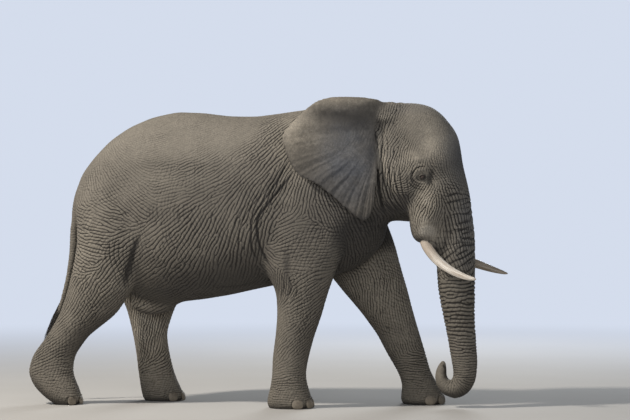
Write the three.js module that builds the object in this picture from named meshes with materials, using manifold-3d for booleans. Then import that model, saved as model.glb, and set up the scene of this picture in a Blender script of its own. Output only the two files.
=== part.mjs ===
// A bull African bush elephant in mid stride, life size, as a still museum model.
// Millimetres. +X is the way it walks, +Y its left, +Z up; the floor is z = 0.
import * as THREE from "three";
import { mergeVertices } from "three/addons/utils/BufferGeometryUtils.js";
import Module from "manifold-3d";

const wasm = await Module();
wasm.setup();

// ---- driving dimensions --------------------------------------------------------------------
const SHOULDER = 3200; // height at the withers
const unit = SHOULDER / 3200; // every table below is written for a 3200 mm bull
const CUT = 0.5; // clearance left where one sub-part is cut to fit its neighbour
const RIGHT = -1; // sides: the sign of y
const LEFT = 1;
const HEAD_TURN = THREE.MathUtils.degToRad(-5); // the head looks a little to its right
const HEAD_PIVOT = new THREE.Vector3(1100, 0, 0);

const HIDE = new THREE.Color(0x8a8378);
const IVORY = new THREE.Color(0xe3d6bd);
const HORN = new THREE.Color(0xa39a86);
const EYE = new THREE.Color(0x2a1d12);
const HAIR = new THREE.Color(0x26221f);

// ---- making shapes ---------------------------------------------------------------------------

// A smooth curve through rows of numbers: their first column is the key it is read at.
function through(rows) {
  const keys = rows.map((row) => row[0]);
  const values = rows.flatMap((row) => row.slice(1));
  const curve = new THREE.CubicInterpolant(keys, values, rows[0].length - 1);
  return (key) => Array.from(curve.evaluate(key));
}

// Keys from the first row's to the last row's, evenly spaced or drawn together at both ends.
function steps(rows, count, drawn = 0) {
  const first = rows[0][0];
  const last = rows[rows.length - 1][0];
  return Array.from({ length: count + 1 }, (_, i) => {
    const even = i / count;
    const eased = (1 - Math.cos(Math.PI * even)) / 2;
    return THREE.MathUtils.lerp(first, last, THREE.MathUtils.lerp(even, eased, drawn));
  });
}

// A closed section: a rounded outline that may differ in reach and in squareness all round.
// along and across are unit vectors; ahead and behind reach along the first, half along the second.
function outline(centre, along, across, { ahead, behind, half, front = 2, back = 2 }, points) {
  const ring = [];
  for (let i = 0; i < points; i++) {
    const angle = (2 * Math.PI * (i + 0.5)) / points;
    const c = Math.cos(angle);
    const s = Math.sin(angle);
    const squareness = 2 / (c > 0 ? front : back);
    const reach = (c > 0 ? ahead : -behind) * Math.abs(c) ** squareness;
    const side = Math.sign(s) * half * Math.abs(s) ** squareness;
    ring.push(centre.clone().addScaledVector(along, reach).addScaledVector(across, side));
  }
  return ring;
}

// A closed surface over a row of rings that all have the same even number of points.
function loft(rings) {
  const n = rings[0].length;
  const position = rings.flat().flatMap((p) => [p.x * unit, p.y * unit, p.z * unit]);
  const index = [];
  for (let r = 0; r + 1 < rings.length; r++)
    for (let i = 0; i < n; i++) {
      const a = r * n + i;
      const b = r * n + ((i + 1) % n);
      index.push(a, b, b + n, a, b + n, a + n);
    }
  const end = (rings.length - 1) * n;
  for (let i = 0; i + 1 < n / 2; i++) {
    const j = n - 1 - i;
    index.push(i, j, j - 1, i, j - 1, i + 1);
    index.push(end + i, end + j - 1, end + j, end + i, end + i + 1, end + j - 1);
  }
  const geometry = new THREE.BufferGeometry();
  geometry.setAttribute("position", new THREE.Float32BufferAttribute(position, 3));
  geometry.setIndex(index);
  return geometry;
}

// A three.js geometry as a solid, turned inside out if its faces point inwards.
function solid(geometry) {
  const bare = new THREE.BufferGeometry();
  bare.setAttribute("position", geometry.getAttribute("position"));
  bare.setIndex(geometry.index);
  const merged = mergeVertices(bare, 1e-3);
  const vertProperties = new Float32Array(merged.getAttribute("position").array);
  const triVerts = new Uint32Array(merged.index.array);
  const made = new wasm.Manifold(new wasm.Mesh({ numProp: 3, vertProperties, triVerts }));
  if (made.volume() > 0) return made;
  for (let i = 0; i < triVerts.length; i += 3)
    [triVerts[i + 1], triVerts[i + 2]] = [triVerts[i + 2], triVerts[i + 1]];
  return new wasm.Manifold(new wasm.Mesh({ numProp: 3, vertProperties, triVerts }));
}

const join = (...solids) => solids.reduce((all, next) => all.add(next));
const less = (body, ...cutters) => cutters.reduce((left, cutter) => left.subtract(cutter), body);

// Turns a head part about the neck, to the side that the head looks.
function turned(geometry) {
  const pivot = HEAD_PIVOT.clone().multiplyScalar(unit);
  geometry.translate(-pivot.x, -pivot.y, -pivot.z);
  geometry.rotateZ(HEAD_TURN);
  return geometry.translate(pivot.x, pivot.y, pivot.z);
}

const X = new THREE.Vector3(1, 0, 0);
const Y = new THREE.Vector3(0, 1, 0);
const Z = new THREE.Vector3(0, 0, 1);

// Upright sections in a row from tail to head: rows of x, top, bottom, half width, height of the
// widest place, squareness above and below.
function trunkOfBody(rows, count, points, grow = 0) {
  const at = through(rows);
  const keys = steps(rows, count, 0.7);
  const rings = keys.map((x, i) => {
    const [top, bottom, half, widest, above, below] = at(x);
    const end = i === 0 ? -grow : i === count ? grow : 0;
    const section = {
      ahead: top - widest + grow,
      behind: widest - bottom + grow,
      half: half + grow,
      front: above,
      back: below,
    };
    return outline(new THREE.Vector3(x + end, 0, widest), Z, Y, section, points);
  });
  return loft(rings);
}

// Level sections from the bottom up: rows of z, rear x, front x, x of the widest place, y of the
// middle, half width, squareness to the front and to the rear.
function stack(rows, count, points, grow = 0) {
  const at = through(rows);
  const keys = steps(rows, count, 0.7);
  const rings = keys.map((z, i) => {
    const [rear, front, widest, y, half, ahead, behind] = at(z);
    const end = i === 0 ? -grow : i === count ? grow : 0;
    const section = {
      ahead: front - widest + grow,
      behind: widest - rear + grow,
      half: half + grow,
      front: ahead,
      back: behind,
    };
    return outline(new THREE.Vector3(widest, y, z + end), X, Y, section, points);
  });
  return loft(rings);
}

// A bent round part that hangs in an upright plane: rows of step, x, y, z, reach to its outer and
// to its inner side, half width, squareness of the inner side.
function tube(rows, count, points, grow = 0) {
  const at = through(rows);
  const place = (key) => new THREE.Vector3(...at(key).slice(0, 3));
  const first = rows[0][0];
  const last = rows[rows.length - 1][0];
  const rings = steps(rows, count).map((key, i) => {
    const [, , , outer, inner, half, square = 2] = at(key);
    const before = place(Math.max(first, key - 0.05));
    const after = place(Math.min(last, key + 0.05));
    const heading = after.sub(before).normalize();
    const outward = heading.clone().cross(Y).normalize();
    const across = heading.clone().cross(outward).normalize();
    const end = i === 0 ? -grow : i === count ? grow : 0;
    const section = {
      ahead: outer + grow,
      behind: inner + grow,
      half: half + grow,
      front: 2,
      back: square,
    };
    return outline(place(key).addScaledVector(heading, end), outward, across, section, points);
  });
  return loft(rings);
}

// ---- torso -----------------------------------------------------------------------------------
// Barrel, rump and chest. The back is highest over the hips and the withers, and dips between.
const TORSO = [
  // x, top, bottom, half width, widest at, squareness above, below
  [-2150, 2330, 2050, 90, 2200, 2, 2],
  [-2090, 2480, 1850, 295, 2190, 2, 2],
  [-1980, 2635, 1640, 440, 2190, 2, 2],
  [-1780, 2858, 1390, 540, 2170, 1.95, 2],
  [-1500, 3045, 1160, 592, 2110, 1.85, 2.1],
  [-1200, 3152, 1088, 632, 2030, 1.75, 2.2],
  [-900, 3188, 1115, 674, 1960, 1.75, 2.2],
  [-600, 3150, 1150, 700, 1930, 1.8, 2.2],
  [-250, 3120, 1225, 704, 1940, 1.85, 2.2],
  [100, 3156, 1300, 674, 2000, 1.8, 2.1],
  [400, 3200, 1350, 624, 2070, 1.75, 2.1],
  [700, 3190, 1400, 568, 2110, 1.8, 2.1],
  [950, 3120, 1490, 505, 2140, 1.9, 2.1],
  [1130, 3020, 1620, 420, 2190, 2, 2],
  [1260, 2880, 1800, 290, 2280, 2, 2],
];

// The sheath that hangs between a bull's thighs, behind the belly.
function sheath(grow) {
  const shape = new THREE.SphereGeometry(1, 12, 7);
  shape.scale(280 + grow, 110 + grow, 130 + grow);
  shape.translate(-1300, 0, 1085);
  return shape.scale(unit, unit, unit);
}

const torsoSolid = (grow) =>
  join(solid(trunkOfBody(TORSO, 16, 24, grow)), solid(sheath(grow)));

// ---- neck ------------------------------------------------------------------------------------
const NECK = [
  [780, 3120, 1650, 500, 2250, 1.9, 2],
  [950, 3095, 1700, 500, 2330, 2, 2],
  [1100, 3110, 1810, 472, 2430, 2, 2],
  [1250, 3150, 1930, 405, 2500, 2.1, 2],
  [1380, 3150, 2080, 300, 2560, 2.1, 2],
];

const neckSolid = (grow) => solid(trunkOfBody(NECK, 5, 20, grow));

// ---- head ------------------------------------------------------------------------------------
// Skull, temples and cheeks. A bull's forehead is round in profile and broad from the front.
const HEAD = [
  // z, rear, front, widest at, y, half width, squareness ahead, behind
  [1990, 1250, 1400, 1320, 0, 90, 2, 2],
  [2030, 1160, 1530, 1320, 0, 230, 2, 2],
  [2110, 1100, 1680, 1330, 0, 322, 2, 2.2],
  [2220, 1060, 1890, 1360, 0, 372, 2, 2.3],
  [2340, 1050, 2080, 1400, 0, 400, 2, 2.4],
  [2460, 1040, 2118, 1440, 0, 414, 2.05, 2.5],
  [2580, 1040, 2106, 1440, 0, 408, 2.15, 2.5],
  [2720, 1040, 2080, 1430, 0, 386, 2.25, 2.5],
  [2860, 1050, 2044, 1440, 0, 366, 2.3, 2.5],
  [2980, 1080, 1992, 1460, 0, 350, 2.3, 2.4],
  [3080, 1130, 1918, 1480, 0, 318, 2.25, 2.3],
  [3160, 1200, 1835, 1490, 0, 268, 2.2, 2.2],
  [3220, 1290, 1730, 1490, 0, 190, 2.1, 2],
  [3248, 1400, 1600, 1500, 0, 80, 2, 2],
];

// Soft swellings and hollows of the head: x, y, z, radius, how far they stand out.
const HEAD_FORMS = [
  [1560, 395, 2790, 190, -46], // temple, hollow behind the eye
  [1790, 330, 2640, 150, 24], // brow, above the eye
  [1500, 420, 2450, 170, 26], // cheekbone
  [1420, 340, 2180, 170, 22], // chewing muscle
  [1980, 200, 2860, 190, 18], // forehead boss
  [2050, 0, 2960, 120, -12], // groove down the middle of the forehead
  [1990, 300, 2420, 150, -22], // hollow between eye and trunk
];

// Moves a geometry's points along their normals, by forms that fade with distance.
function formed(geometry, forms) {
  geometry.computeVertexNormals();
  const place = geometry.getAttribute("position");
  const normal = geometry.getAttribute("normal");
  const point = new THREE.Vector3();
  const out = new THREE.Vector3();
  const moves = [];
  for (let i = 0; i < place.count; i++) {
    point.fromBufferAttribute(place, i);
    out.fromBufferAttribute(normal, i);
    let move = 0;
    for (const [x, y, z, radius, height] of forms) {
      const centre = new THREE.Vector3(x, y * Math.sign(point.y || 1), z).multiplyScalar(unit);
      const far = point.distanceTo(centre) / (radius * unit);
      move += height * unit * Math.exp(-far * far);
    }
    moves.push(point.clone().addScaledVector(out, move));
  }
  moves.forEach((moved, i) => place.setXYZ(i, moved.x, moved.y, moved.z));
  return geometry;
}

// The socket that holds a tusk, from under the eye down to the lip.
const SOCKET = [
  // step, x, y, z, outer reach, inner reach, half width
  [0, 1850, 130, 2560, 190, 190, 130],
  [1, 1800, 192, 2290, 235, 215, 168],
  [2, 1748, 226, 2060, 225, 192, 160],
  [3, 1728, 242, 1905, 178, 146, 138],
  [4, 1722, 250, 1805, 116, 100, 104],
  [5, 1724, 252, 1766, 84, 78, 80],
];

function sided(rows, side) {
  return rows.map(([step, x, y, ...rest]) => [step, x, y * side, ...rest]);
}

const headSolid = (grow) => solid(turned(formed(stack(HEAD, 14, 22, grow), HEAD_FORMS)));

// The lower jaw ends in a pointed lip between the tusk sockets.
const JAW = [
  // step, x, y, z, under side, upper side, half width
  [0, 1230, 0, 2130, 115, 120, 230],
  [1, 1400, 0, 2095, 110, 110, 205],
  [2, 1550, 0, 2070, 92, 95, 140],
  [3, 1680, 0, 2030, 70, 80, 90],
  [4, 1770, 0, 1985, 45, 55, 55],
  [5, 1800, 0, 1955, 18, 22, 24],
];

const jawSolid = (grow) => solid(turned(tube(JAW, 4, 12, grow)));

// ---- trunk -----------------------------------------------------------------------------------
// It hangs from the forehead almost to the floor, and its tip curls back and up.
const TRUNK = [
  // step, x, y, z, front reach, rear reach, half width, squareness of the rear
  [0, 1840, 0, 2640, 250, 250, 240, 2],
  [1, 1895, 0, 2420, 250, 250, 266, 2],
  [2, 1935, 0, 2210, 258, 245, 272, 2.1],
  [3, 1968, 0, 2010, 248, 225, 258, 2.2],
  [4, 1998, 0, 1810, 246, 200, 242, 2.3],
  [5, 2022, 0, 1620, 224, 198, 230, 2.4],
  [6, 2036, 0, 1440, 208, 202, 216, 2.4],
  [7, 2046, 0, 1270, 199, 200, 202, 2.4],
  [8, 2058, 0, 1110, 186, 184, 188, 2.4],
  [9, 2074, 0, 950, 168, 166, 174, 2.4],
  [10, 2095, 0, 790, 154, 152, 162, 2.4],
  [11, 2112, 0, 630, 150, 144, 152, 2.3],
  [12, 2128, 0, 470, 140, 132, 142, 2.2],
  [13, 2128, 0, 340, 128, 120, 134, 2.1],
  [14, 2096, 0, 245, 116, 106, 128, 2.1],
  [15, 2010, 0, 198, 108, 98, 120, 2.1],
  [16, 1922, 0, 240, 92, 82, 108, 2.1],
  [17, 1884, 0, 330, 80, 70, 96, 2.1],
  [18, 1894, 0, 408, 68, 60, 84, 2],
  [19, 1922, 0, 474, 54, 50, 70, 2],
];
const TRUNK_ROOT = 2300; // the trunk begins at this height, between the tusk sockets
const TRUNK_PARTS = [1400, 770]; // and is parted at these
const CURL = { front: 1976, top: 545 }; // behind and below these it is the curled tip

// The tip: two nostrils side by side, a long finger above them and a short one below.
const NOSTRIL = { apart: 27, mouth: 22, end: 9, depth: 80 };
const FINGERS = [
  // out along the trunk, over to its front side, half length, half thickness, half width
  [2, 32, 32, 19, 34],
  [0, -29, 22, 17, 38],
];

// Moves a shape made at the origin, with +Y ahead and +Z over, to the tip of the trunk.
function atTip(geometry) {
  const [, endX, , endZ] = TRUNK[TRUNK.length - 1];
  const [, beforeX, , beforeZ] = TRUNK[TRUNK.length - 2];
  const ahead = new THREE.Vector3(endX - beforeX, 0, endZ - beforeZ).normalize();
  const over = ahead.clone().cross(Y);
  geometry.applyMatrix4(new THREE.Matrix4().makeBasis(ahead.clone().cross(over), ahead, over));
  geometry.translate(endX, 0, endZ);
  return turned(geometry.scale(unit, unit, unit));
}

function nostril(side) {
  const bore = new THREE.CylinderGeometry(NOSTRIL.mouth, NOSTRIL.end, NOSTRIL.depth, 7);
  return solid(atTip(bore.translate(side * NOSTRIL.apart, 0, 0)));
}

function finger([out, over, length, thickness, width]) {
  const shape = new THREE.SphereGeometry(1, 8, 4).scale(width, length, thickness);
  return solid(atTip(shape.translate(0, out, over)));
}

function trunkSolid(grow) {
  const hanging = solid(turned(tube(TRUNK, 28, 12, grow)));
  if (grow) return hanging;
  return less(join(hanging, ...FINGERS.map(finger)), nostril(RIGHT), nostril(LEFT));
}

// ---- parting planes --------------------------------------------------------------------------

// Everything between two heights above the floor.
function layer(low, high) {
  const box = new THREE.BoxGeometry(8000 * unit, 4000 * unit, (high - low) * unit);
  return solid(box.translate(0, 0, ((low + high) / 2) * unit));
}

// Everything behind a place on the trunk and below a height.
function behindTrunk(front, top) {
  const size = 700;
  const box = new THREE.BoxGeometry(size, size, size);
  return solid(turned(box.translate(front - size / 2, 0, top - size / 2).scale(unit, unit, unit)));
}

// ---- legs ------------------------------------------------------------------------------------
// Right fore leg: late in its stride, leaning back under the shoulder.
const FORE_RIGHT = [
  // z, rear, front, widest at, y, half width, squareness ahead, behind
  [0, 52, 522, 290, -385, 228, 2.1, 2.1],
  [50, 40, 532, 290, -385, 240, 2.1, 2.1],
  [130, 56, 516, 286, -386, 228, 2.1, 2.1],
  [220, 82, 488, 280, -388, 200, 2, 2],
  [330, 96, 464, 276, -391, 178, 2, 2],
  [500, 98, 490, 294, -397, 170, 2, 2],
  [700, 128, 540, 332, -406, 176, 2, 2],
  [950, 154, 630, 390, -414, 193, 2, 2],
  [1250, 138, 722, 430, -428, 216, 2, 2],
  [1440, 30, 800, 432, -442, 226, 2, 2],
  [1620, -60, 880, 430, -458, 224, 2, 2],
  [1820, -100, 930, 430, -472, 214, 2, 2],
  [2040, -70, 930, 440, -474, 202, 2, 2],
  [2280, 60, 880, 460, -462, 180, 2, 2],
  [2520, 230, 800, 500, -420, 150, 2, 2],
  [2720, 390, 700, 540, -360, 100, 2, 2],
];

// Left fore leg: just set down, reaching forward.
const FORE_LEFT = [
  [0, 1378, 1834, 1605, 385, 224, 2.1, 2.1],
  [50, 1368, 1844, 1605, 385, 236, 2.1, 2.1],
  [130, 1388, 1822, 1600, 387, 222, 2.1, 2.1],
  [220, 1394, 1776, 1580, 390, 192, 2, 2],
  [330, 1346, 1712, 1526, 394, 173, 2, 2],
  [500, 1240, 1664, 1456, 400, 170, 2, 2],
  [740, 1112, 1588, 1352, 408, 182, 2, 2],
  [900, 1002, 1540, 1272, 414, 194, 2, 2],
  [1060, 862, 1495, 1180, 420, 208, 2, 2],
  [1230, 712, 1452, 1086, 432, 222, 2, 2],
  [1420, 540, 1395, 980, 446, 230, 2, 2],
  [1620, 400, 1338, 890, 458, 226, 2, 2],
  [1820, 320, 1285, 820, 470, 212, 2, 2],
  [2040, 300, 1190, 760, 472, 200, 2, 2],
  [2280, 350, 1060, 710, 460, 178, 2, 2],
  [2520, 450, 910, 680, 418, 148, 2, 2],
  [2720, 560, 800, 670, 358, 98, 2, 2],
];

// Right hind leg: about to leave the floor, its heel raised and only the toes bearing.
const HIND_RIGHT = [
  [0, -2310, -2046, -2170, -345, 150, 2.2, 2.2],
  [40, -2370, -2024, -2190, -345, 176, 2.2, 2.2],
  [110, -2466, -2020, -2220, -347, 188, 2.2, 2.2],
  [210, -2560, -2058, -2290, -350, 184, 2.1, 2.1],
  [320, -2612, -2100, -2350, -354, 172, 2, 2],
  [450, -2598, -2118, -2360, -358, 163, 2, 2],
  [590, -2522, -2040, -2284, -362, 162, 2, 2],
  [720, -2414, -1948, -2184, -366, 170, 2, 2],
  [830, -2326, -1836, -2086, -370, 182, 2, 2],
  [930, -2274, -1700, -1992, -376, 196, 2, 2],
  [1040, -2230, -1530, -1894, -384, 214, 2, 2],
  [1200, -2170, -1442, -1816, -394, 236, 2, 2],
  [1450, -2105, -1372, -1756, -400, 250, 2, 2],
  [1700, -2055, -1270, -1706, -400, 254, 2, 2],
  [1950, -2065, -1216, -1680, -390, 244, 2, 2],
  [2180, -2080, -1250, -1684, -370, 224, 2, 2],
  [2400, -2020, -1350, -1700, -335, 190, 2, 2],
  [2590, -1900, -1470, -1700, -275, 135, 2, 2],
  [2710, -1800, -1570, -1690, -210, 70, 2, 2],
];

// Left hind leg: bearing the weight, nearly upright.
const HIND_LEFT = [
  [0, -1498, -1056, -1272, 345, 180, 2.2, 2.2],
  [50, -1508, -1046, -1272, 345, 190, 2.2, 2.2],
  [130, -1526, -1072, -1296, 347, 180, 2.1, 2.1],
  [250, -1554, -1132, -1344, 350, 164, 2, 2],
  [400, -1572, -1172, -1372, 354, 158, 2, 2],
  [560, -1592, -1212, -1400, 358, 158, 2, 2],
  [720, -1624, -1238, -1430, 364, 166, 2, 2],
  [860, -1652, -1228, -1440, 370, 180, 2, 2],
  [1000, -1700, -1152, -1432, 378, 202, 2, 2],
  [1200, -1790, -1050, -1430, 392, 234, 2, 2],
  [1450, -1900, -1000, -1450, 400, 250, 2, 2],
  [1700, -1990, -990, -1490, 400, 254, 2, 2],
  [1950, -2040, -1040, -1540, 390, 244, 2, 2],
  [2180, -2050, -1140, -1590, 370, 224, 2, 2],
  [2400, -1990, -1260, -1630, 335, 190, 2, 2],
  [2590, -1880, -1400, -1660, 275, 135, 2, 2],
  [2710, -1780, -1530, -1670, 210, 70, 2, 2],
];

const LEGS = {
  fore_right: { rows: FORE_RIGHT, ankle: 300, nails: 4, spread: 60, nail: 45 },
  fore_left: { rows: FORE_LEFT, ankle: 300, nails: 4, spread: 60, nail: 45 },
  hind_right: { rows: HIND_RIGHT, ankle: 330, nails: 3, spread: 50, nail: 43 },
  hind_left: { rows: HIND_LEFT, ankle: 290, nails: 3, spread: 50, nail: 43 },
};

const legSolid = (leg, grow) => solid(stack(leg.rows, 15, 12, grow));

// ---- toenails --------------------------------------------------------------------------------
// Flat ovals set into the front rim of each foot, and spread round it.
function nailSpots(leg) {
  const height = leg.nail + 8;
  const [, front, widest, y, half] = through(leg.rows)(height);
  return Array.from({ length: leg.nails }, (_, i) => {
    const turn = THREE.MathUtils.degToRad(leg.spread * ((2 * i) / (leg.nails - 1) - 1));
    const [ahead, aside] = [Math.cos(turn), Math.sin(turn)];
    const out = new THREE.Vector3(ahead * half, aside * (front - widest), 0).normalize();
    return { x: widest + (front - widest) * ahead, y: y + half * aside, z: height, out };
  });
}

function nailSolid(spot, leg, grow) {
  const shape = new THREE.SphereGeometry(1, 6, 4);
  shape.scale(17 + grow, leg.nail + grow, leg.nail * 0.9 + grow);
  shape.applyQuaternion(new THREE.Quaternion().setFromUnitVectors(X, spot.out));
  shape.translate(spot.x, spot.y, spot.z);
  return solid(shape.scale(unit, unit, unit));
}

// ---- ears ------------------------------------------------------------------------------------
// Laid back over the neck and shoulder. The rim runs from the top of the root, over the rolled
// upper edge, down the rear edge to the pointed lobe and up the free front edge.
const EAR_RIM = [
  // step, x, y, z, thickness at the rim, how far the ear domes out on the way
  [0, 1336, 320, 3262, 70, 0],
  [1, 1240, 372, 3284, 66, 15],
  [2, 1060, 418, 3304, 60, 45],
  [3, 890, 458, 3312, 56, 60],
  [4, 735, 505, 3300, 50, 60],
  [5, 582, 562, 3246, 42, 48],
  [6, 432, 612, 3120, 32, 30],
  [7, 310, 650, 2985, 26, 12],
  [8, 246, 678, 2880, 24, 0],
  [9, 276, 700, 2755, 22, 0],
  [10, 345, 716, 2590, 22, 0],
  [11, 450, 722, 2458, 22, 0],
  [12, 620, 716, 2375, 22, 0],
  [13, 790, 700, 2246, 22, 0],
  [14, 930, 682, 2118, 22, 0],
  [15, 1050, 664, 2016, 24, 0],
  [16, 1135, 646, 1986, 24, 0],
  [17, 1202, 622, 2050, 24, 0],
  [18, 1236, 588, 2200, 24, 0],
  [19, 1250, 530, 2400, 28, 0],
  [20, 1246, 450, 2590, 40, 0],
];
const EAR_ROOT = [
  // step, x, y, z where the ear grows from the head and neck
  [0, 1376, 256, 3232],
  [3, 1262, 308, 3110],
  [8, 1204, 342, 2960],
  [14, 1216, 364, 2790],
  [20, 1240, 374, 2640],
];
const EAR = { thick: 90, spokes: 20, across: 5, ribs: 7, rib: 11 };

function earSolid(side) {
  const rimAt = through(EAR_RIM);
  const rootAt = through(EAR_ROOT);
  const rings = steps(EAR_RIM, EAR.spokes).map((step) => {
    const [x, y, z, rimThick, dome] = rimAt(step);
    const rim = new THREE.Vector3(x, y, z);
    const root = new THREE.Vector3(...rootAt(step));
    const rib = EAR.rib * THREE.MathUtils.smoothstep(step, 5, 9);
    const wave = Math.sin((step / 20) * Math.PI * 2 * EAR.ribs);
    const faces = [[], []];
    for (let i = 0; i <= EAR.across; i++) {
      const out = i / EAR.across;
      const point = root.clone().lerp(rim, out);
      point.y = root.y + (rim.y - root.y) * (1 - (1 - out) ** 2.2);
      point.y += dome * Math.sin(Math.PI * out) + rib * wave * out * out;
      const half = THREE.MathUtils.lerp(EAR.thick, rimThick, Math.min(1, out * 1.5)) / 2;
      const edge = i === EAR.across ? 0.45 : 1;
      faces[0].push(new THREE.Vector3(point.x, side * (point.y + half * edge), point.z));
      faces[1].unshift(new THREE.Vector3(point.x, side * (point.y - half * edge), point.z));
    }
    return faces.flat();
  });
  return solid(loft(rings));
}

// ---- eyes ------------------------------------------------------------------------------------
const EYEBALL = { x: 1748, y: 364, z: 2456, radius: 24 };

function eyeSolid(side, grow) {
  const ball = new THREE.SphereGeometry((EYEBALL.radius + grow) * unit, 8, 6);
  ball.translate(EYEBALL.x * unit, EYEBALL.y * side * unit, EYEBALL.z * unit);
  return solid(turned(ball));
}

// ---- tusks -----------------------------------------------------------------------------------
// The right tusk is worn shorter than the left, which reaches further forward.
const TUSKS = {
  tusk_right: [
    // step, x, y, z, radius
    [0, 1712, -238, 2000, 54],
    [1, 1736, -250, 1850, 56],
    [2, 1772, -268, 1735, 55],
    [3, 1846, -292, 1632, 53],
    [4, 1944, -318, 1540, 48],
    [5, 2066, -345, 1464, 40],
    [6, 2194, -368, 1410, 31],
    [7, 2290, -382, 1387, 20],
    [8, 2328, -386, 1382, 7],
  ],
  tusk_left: [
    [0, 1712, 238, 2000, 54],
    [1, 1736, 252, 1850, 56],
    [2, 1790, 276, 1735, 55],
    [3, 1905, 310, 1645, 54],
    [4, 2050, 345, 1575, 52],
    [5, 2200, 375, 1520, 46],
    [6, 2350, 398, 1468, 34],
    [7, 2470, 412, 1432, 19],
    [8, 2520, 418, 1420, 6],
  ],
};

function tuskSolid(rows, grow) {
  const round = rows.map(([step, x, y, z, radius]) => [step, x, y, z, radius, radius, radius]);
  return solid(turned(tube(round, 10, 8, grow)));
}

// ---- tail ------------------------------------------------------------------------------------
const TAIL = [
  // step, x, y, z, rear reach, fore reach, half width
  [0, -1980, 0, 2470, 90, 90, 95],
  [1, -2092, 0, 2350, 76, 78, 80],
  [2, -2158, 0, 2180, 62, 66, 66],
  [3, -2190, 0, 1980, 52, 54, 56],
  [4, -2204, 0, 1740, 45, 45, 47],
  [5, -2232, 0, 1490, 38, 38, 40],
  [6, -2290, 0, 1240, 32, 32, 34],
  [7, -2358, 0, 1020, 28, 28, 30],
  [8, -2414, 0, 890, 26, 26, 28],
];
const TAIL_TUFT = [
  [0, -2404, 0, 910, 30, 30, 24],
  [1, -2444, 0, 820, 48, 46, 34],
  [2, -2484, 0, 730, 50, 48, 36],
  [3, -2514, 0, 650, 36, 34, 26],
  [4, -2530, 0, 590, 12, 12, 10],
];

// ---- parting the body ------------------------------------------------------------------------
// Each piece gives way to those before it, with a hair's breadth between them.
const torso = torsoSolid(0);
const torsoGrown = torsoSolid(CUT);
const neckGrown = neckSolid(CUT);
const trunkGrown = trunkSolid(CUT);
const sockets = (grow) =>
  [RIGHT, LEFT].map((side) => solid(turned(tube(sided(SOCKET, side), 5, 12, grow))));
const face = (grow) =>
  join(headSolid(grow), ...sockets(grow), trunkSolid(grow).intersect(layer(TRUNK_ROOT - grow, 4000)));
const pits = [
  ...Object.values(TUSKS).map((rows) => tuskSolid(rows, CUT)),
  ...[RIGHT, LEFT].map((side) => eyeSolid(side, CUT)),
];
const faceGrown = face(CUT);
const legsGrown = Object.values(LEGS).map((leg) => legSolid(leg, CUT));

const flesh = { torso };
flesh.neck = less(neckSolid(0), torsoGrown);
flesh.head = less(face(0), torsoGrown, neckGrown, ...pits);
flesh.lower_jaw = less(jawSolid(0), faceGrown, neckGrown, torsoGrown, trunkGrown, ...pits);

const [upper, lower] = TRUNK_PARTS;
const trunk = less(trunkSolid(0), faceGrown, ...pits);
const hanging = trunk.intersect(layer(-100, lower - CUT));
flesh.trunk_upper = trunk.intersect(layer(upper, TRUNK_ROOT + 1));
flesh.trunk_middle = trunk.intersect(layer(lower, upper - CUT));
flesh.trunk_lower = hanging.subtract(behindTrunk(CURL.front, CURL.top));
flesh.trunk_tip = hanging.intersect(behindTrunk(CURL.front - CUT, CURL.top));

const nails = {};
for (const [name, leg] of Object.entries(LEGS)) {
  const spots = nailSpots(leg);
  spots.forEach((spot, i) => (nails[`nail_${name}_${i + 1}`] = nailSolid(spot, leg, 0)));
  const beds = spots.map((spot) => nailSolid(spot, leg, CUT));
  const whole = less(legSolid(leg, 0), torsoGrown, neckGrown, ...beds);
  flesh[`leg_${name}`] = whole.intersect(layer(leg.ankle, 4000));
  flesh[`foot_${name}`] = whole.intersect(layer(-10, leg.ankle - CUT));
}

for (const [name, side] of [["ear_right", RIGHT], ["ear_left", LEFT]])
  flesh[name] = less(earSolid(side), torsoGrown, neckGrown, faceGrown, ...legsGrown);

const tuftGrown = solid(tube(TAIL_TUFT, 5, 8, CUT));
flesh.tail = less(solid(tube(TAIL, 10, 8)), torsoGrown, tuftGrown);

// ---- the model -------------------------------------------------------------------------------
const elephant = new THREE.Group();
elephant.name = "elephant";

// The largest closed piece of a solid, as a named mesh with a finish of its own.
function add(name, made, color, roughness) {
  const largest = made.decompose().reduce((a, b) => (a.volume() > b.volume() ? a : b));
  const mesh = largest.getMesh();
  const geometry = new THREE.BufferGeometry();
  geometry.setAttribute("position", new THREE.BufferAttribute(mesh.vertProperties, 3));
  geometry.setIndex(new THREE.BufferAttribute(mesh.triVerts, 1));
  geometry.computeVertexNormals();
  const material = new THREE.MeshStandardMaterial({ color, roughness, metalness: 0 });
  const node = new THREE.Mesh(geometry, material);
  node.name = name;
  elephant.add(node);
}

for (const [name, made] of Object.entries(flesh)) add(name, made, HIDE, 0.9);
for (const [name, rows] of Object.entries(TUSKS)) add(name, tuskSolid(rows, 0), IVORY, 0.45);
for (const [name, made] of Object.entries(nails)) add(name, made, HORN, 0.6);
add("eye_right", eyeSolid(RIGHT, 0), EYE, 0.1);
add("eye_left", eyeSolid(LEFT, 0), EYE, 0.1);
add("tail_tuft", solid(tube(TAIL_TUFT, 5, 8)), HAIR, 0.8);

// The origin is on the floor, under the middle of the whole animal.
const box = new THREE.Box3().setFromObject(elephant);
const middle = box.getCenter(new THREE.Vector3());
elephant.position.set(-middle.x, -middle.y, -box.min.z);

export default elephant;
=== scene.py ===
"""A bull African bush elephant in mid stride, life size, as a museum would show it."""

import bmesh
import bpy
import numpy as np
from mathutils import Matrix, Vector, kdtree
from mathutils.bvhtree import BVHTree


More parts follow.
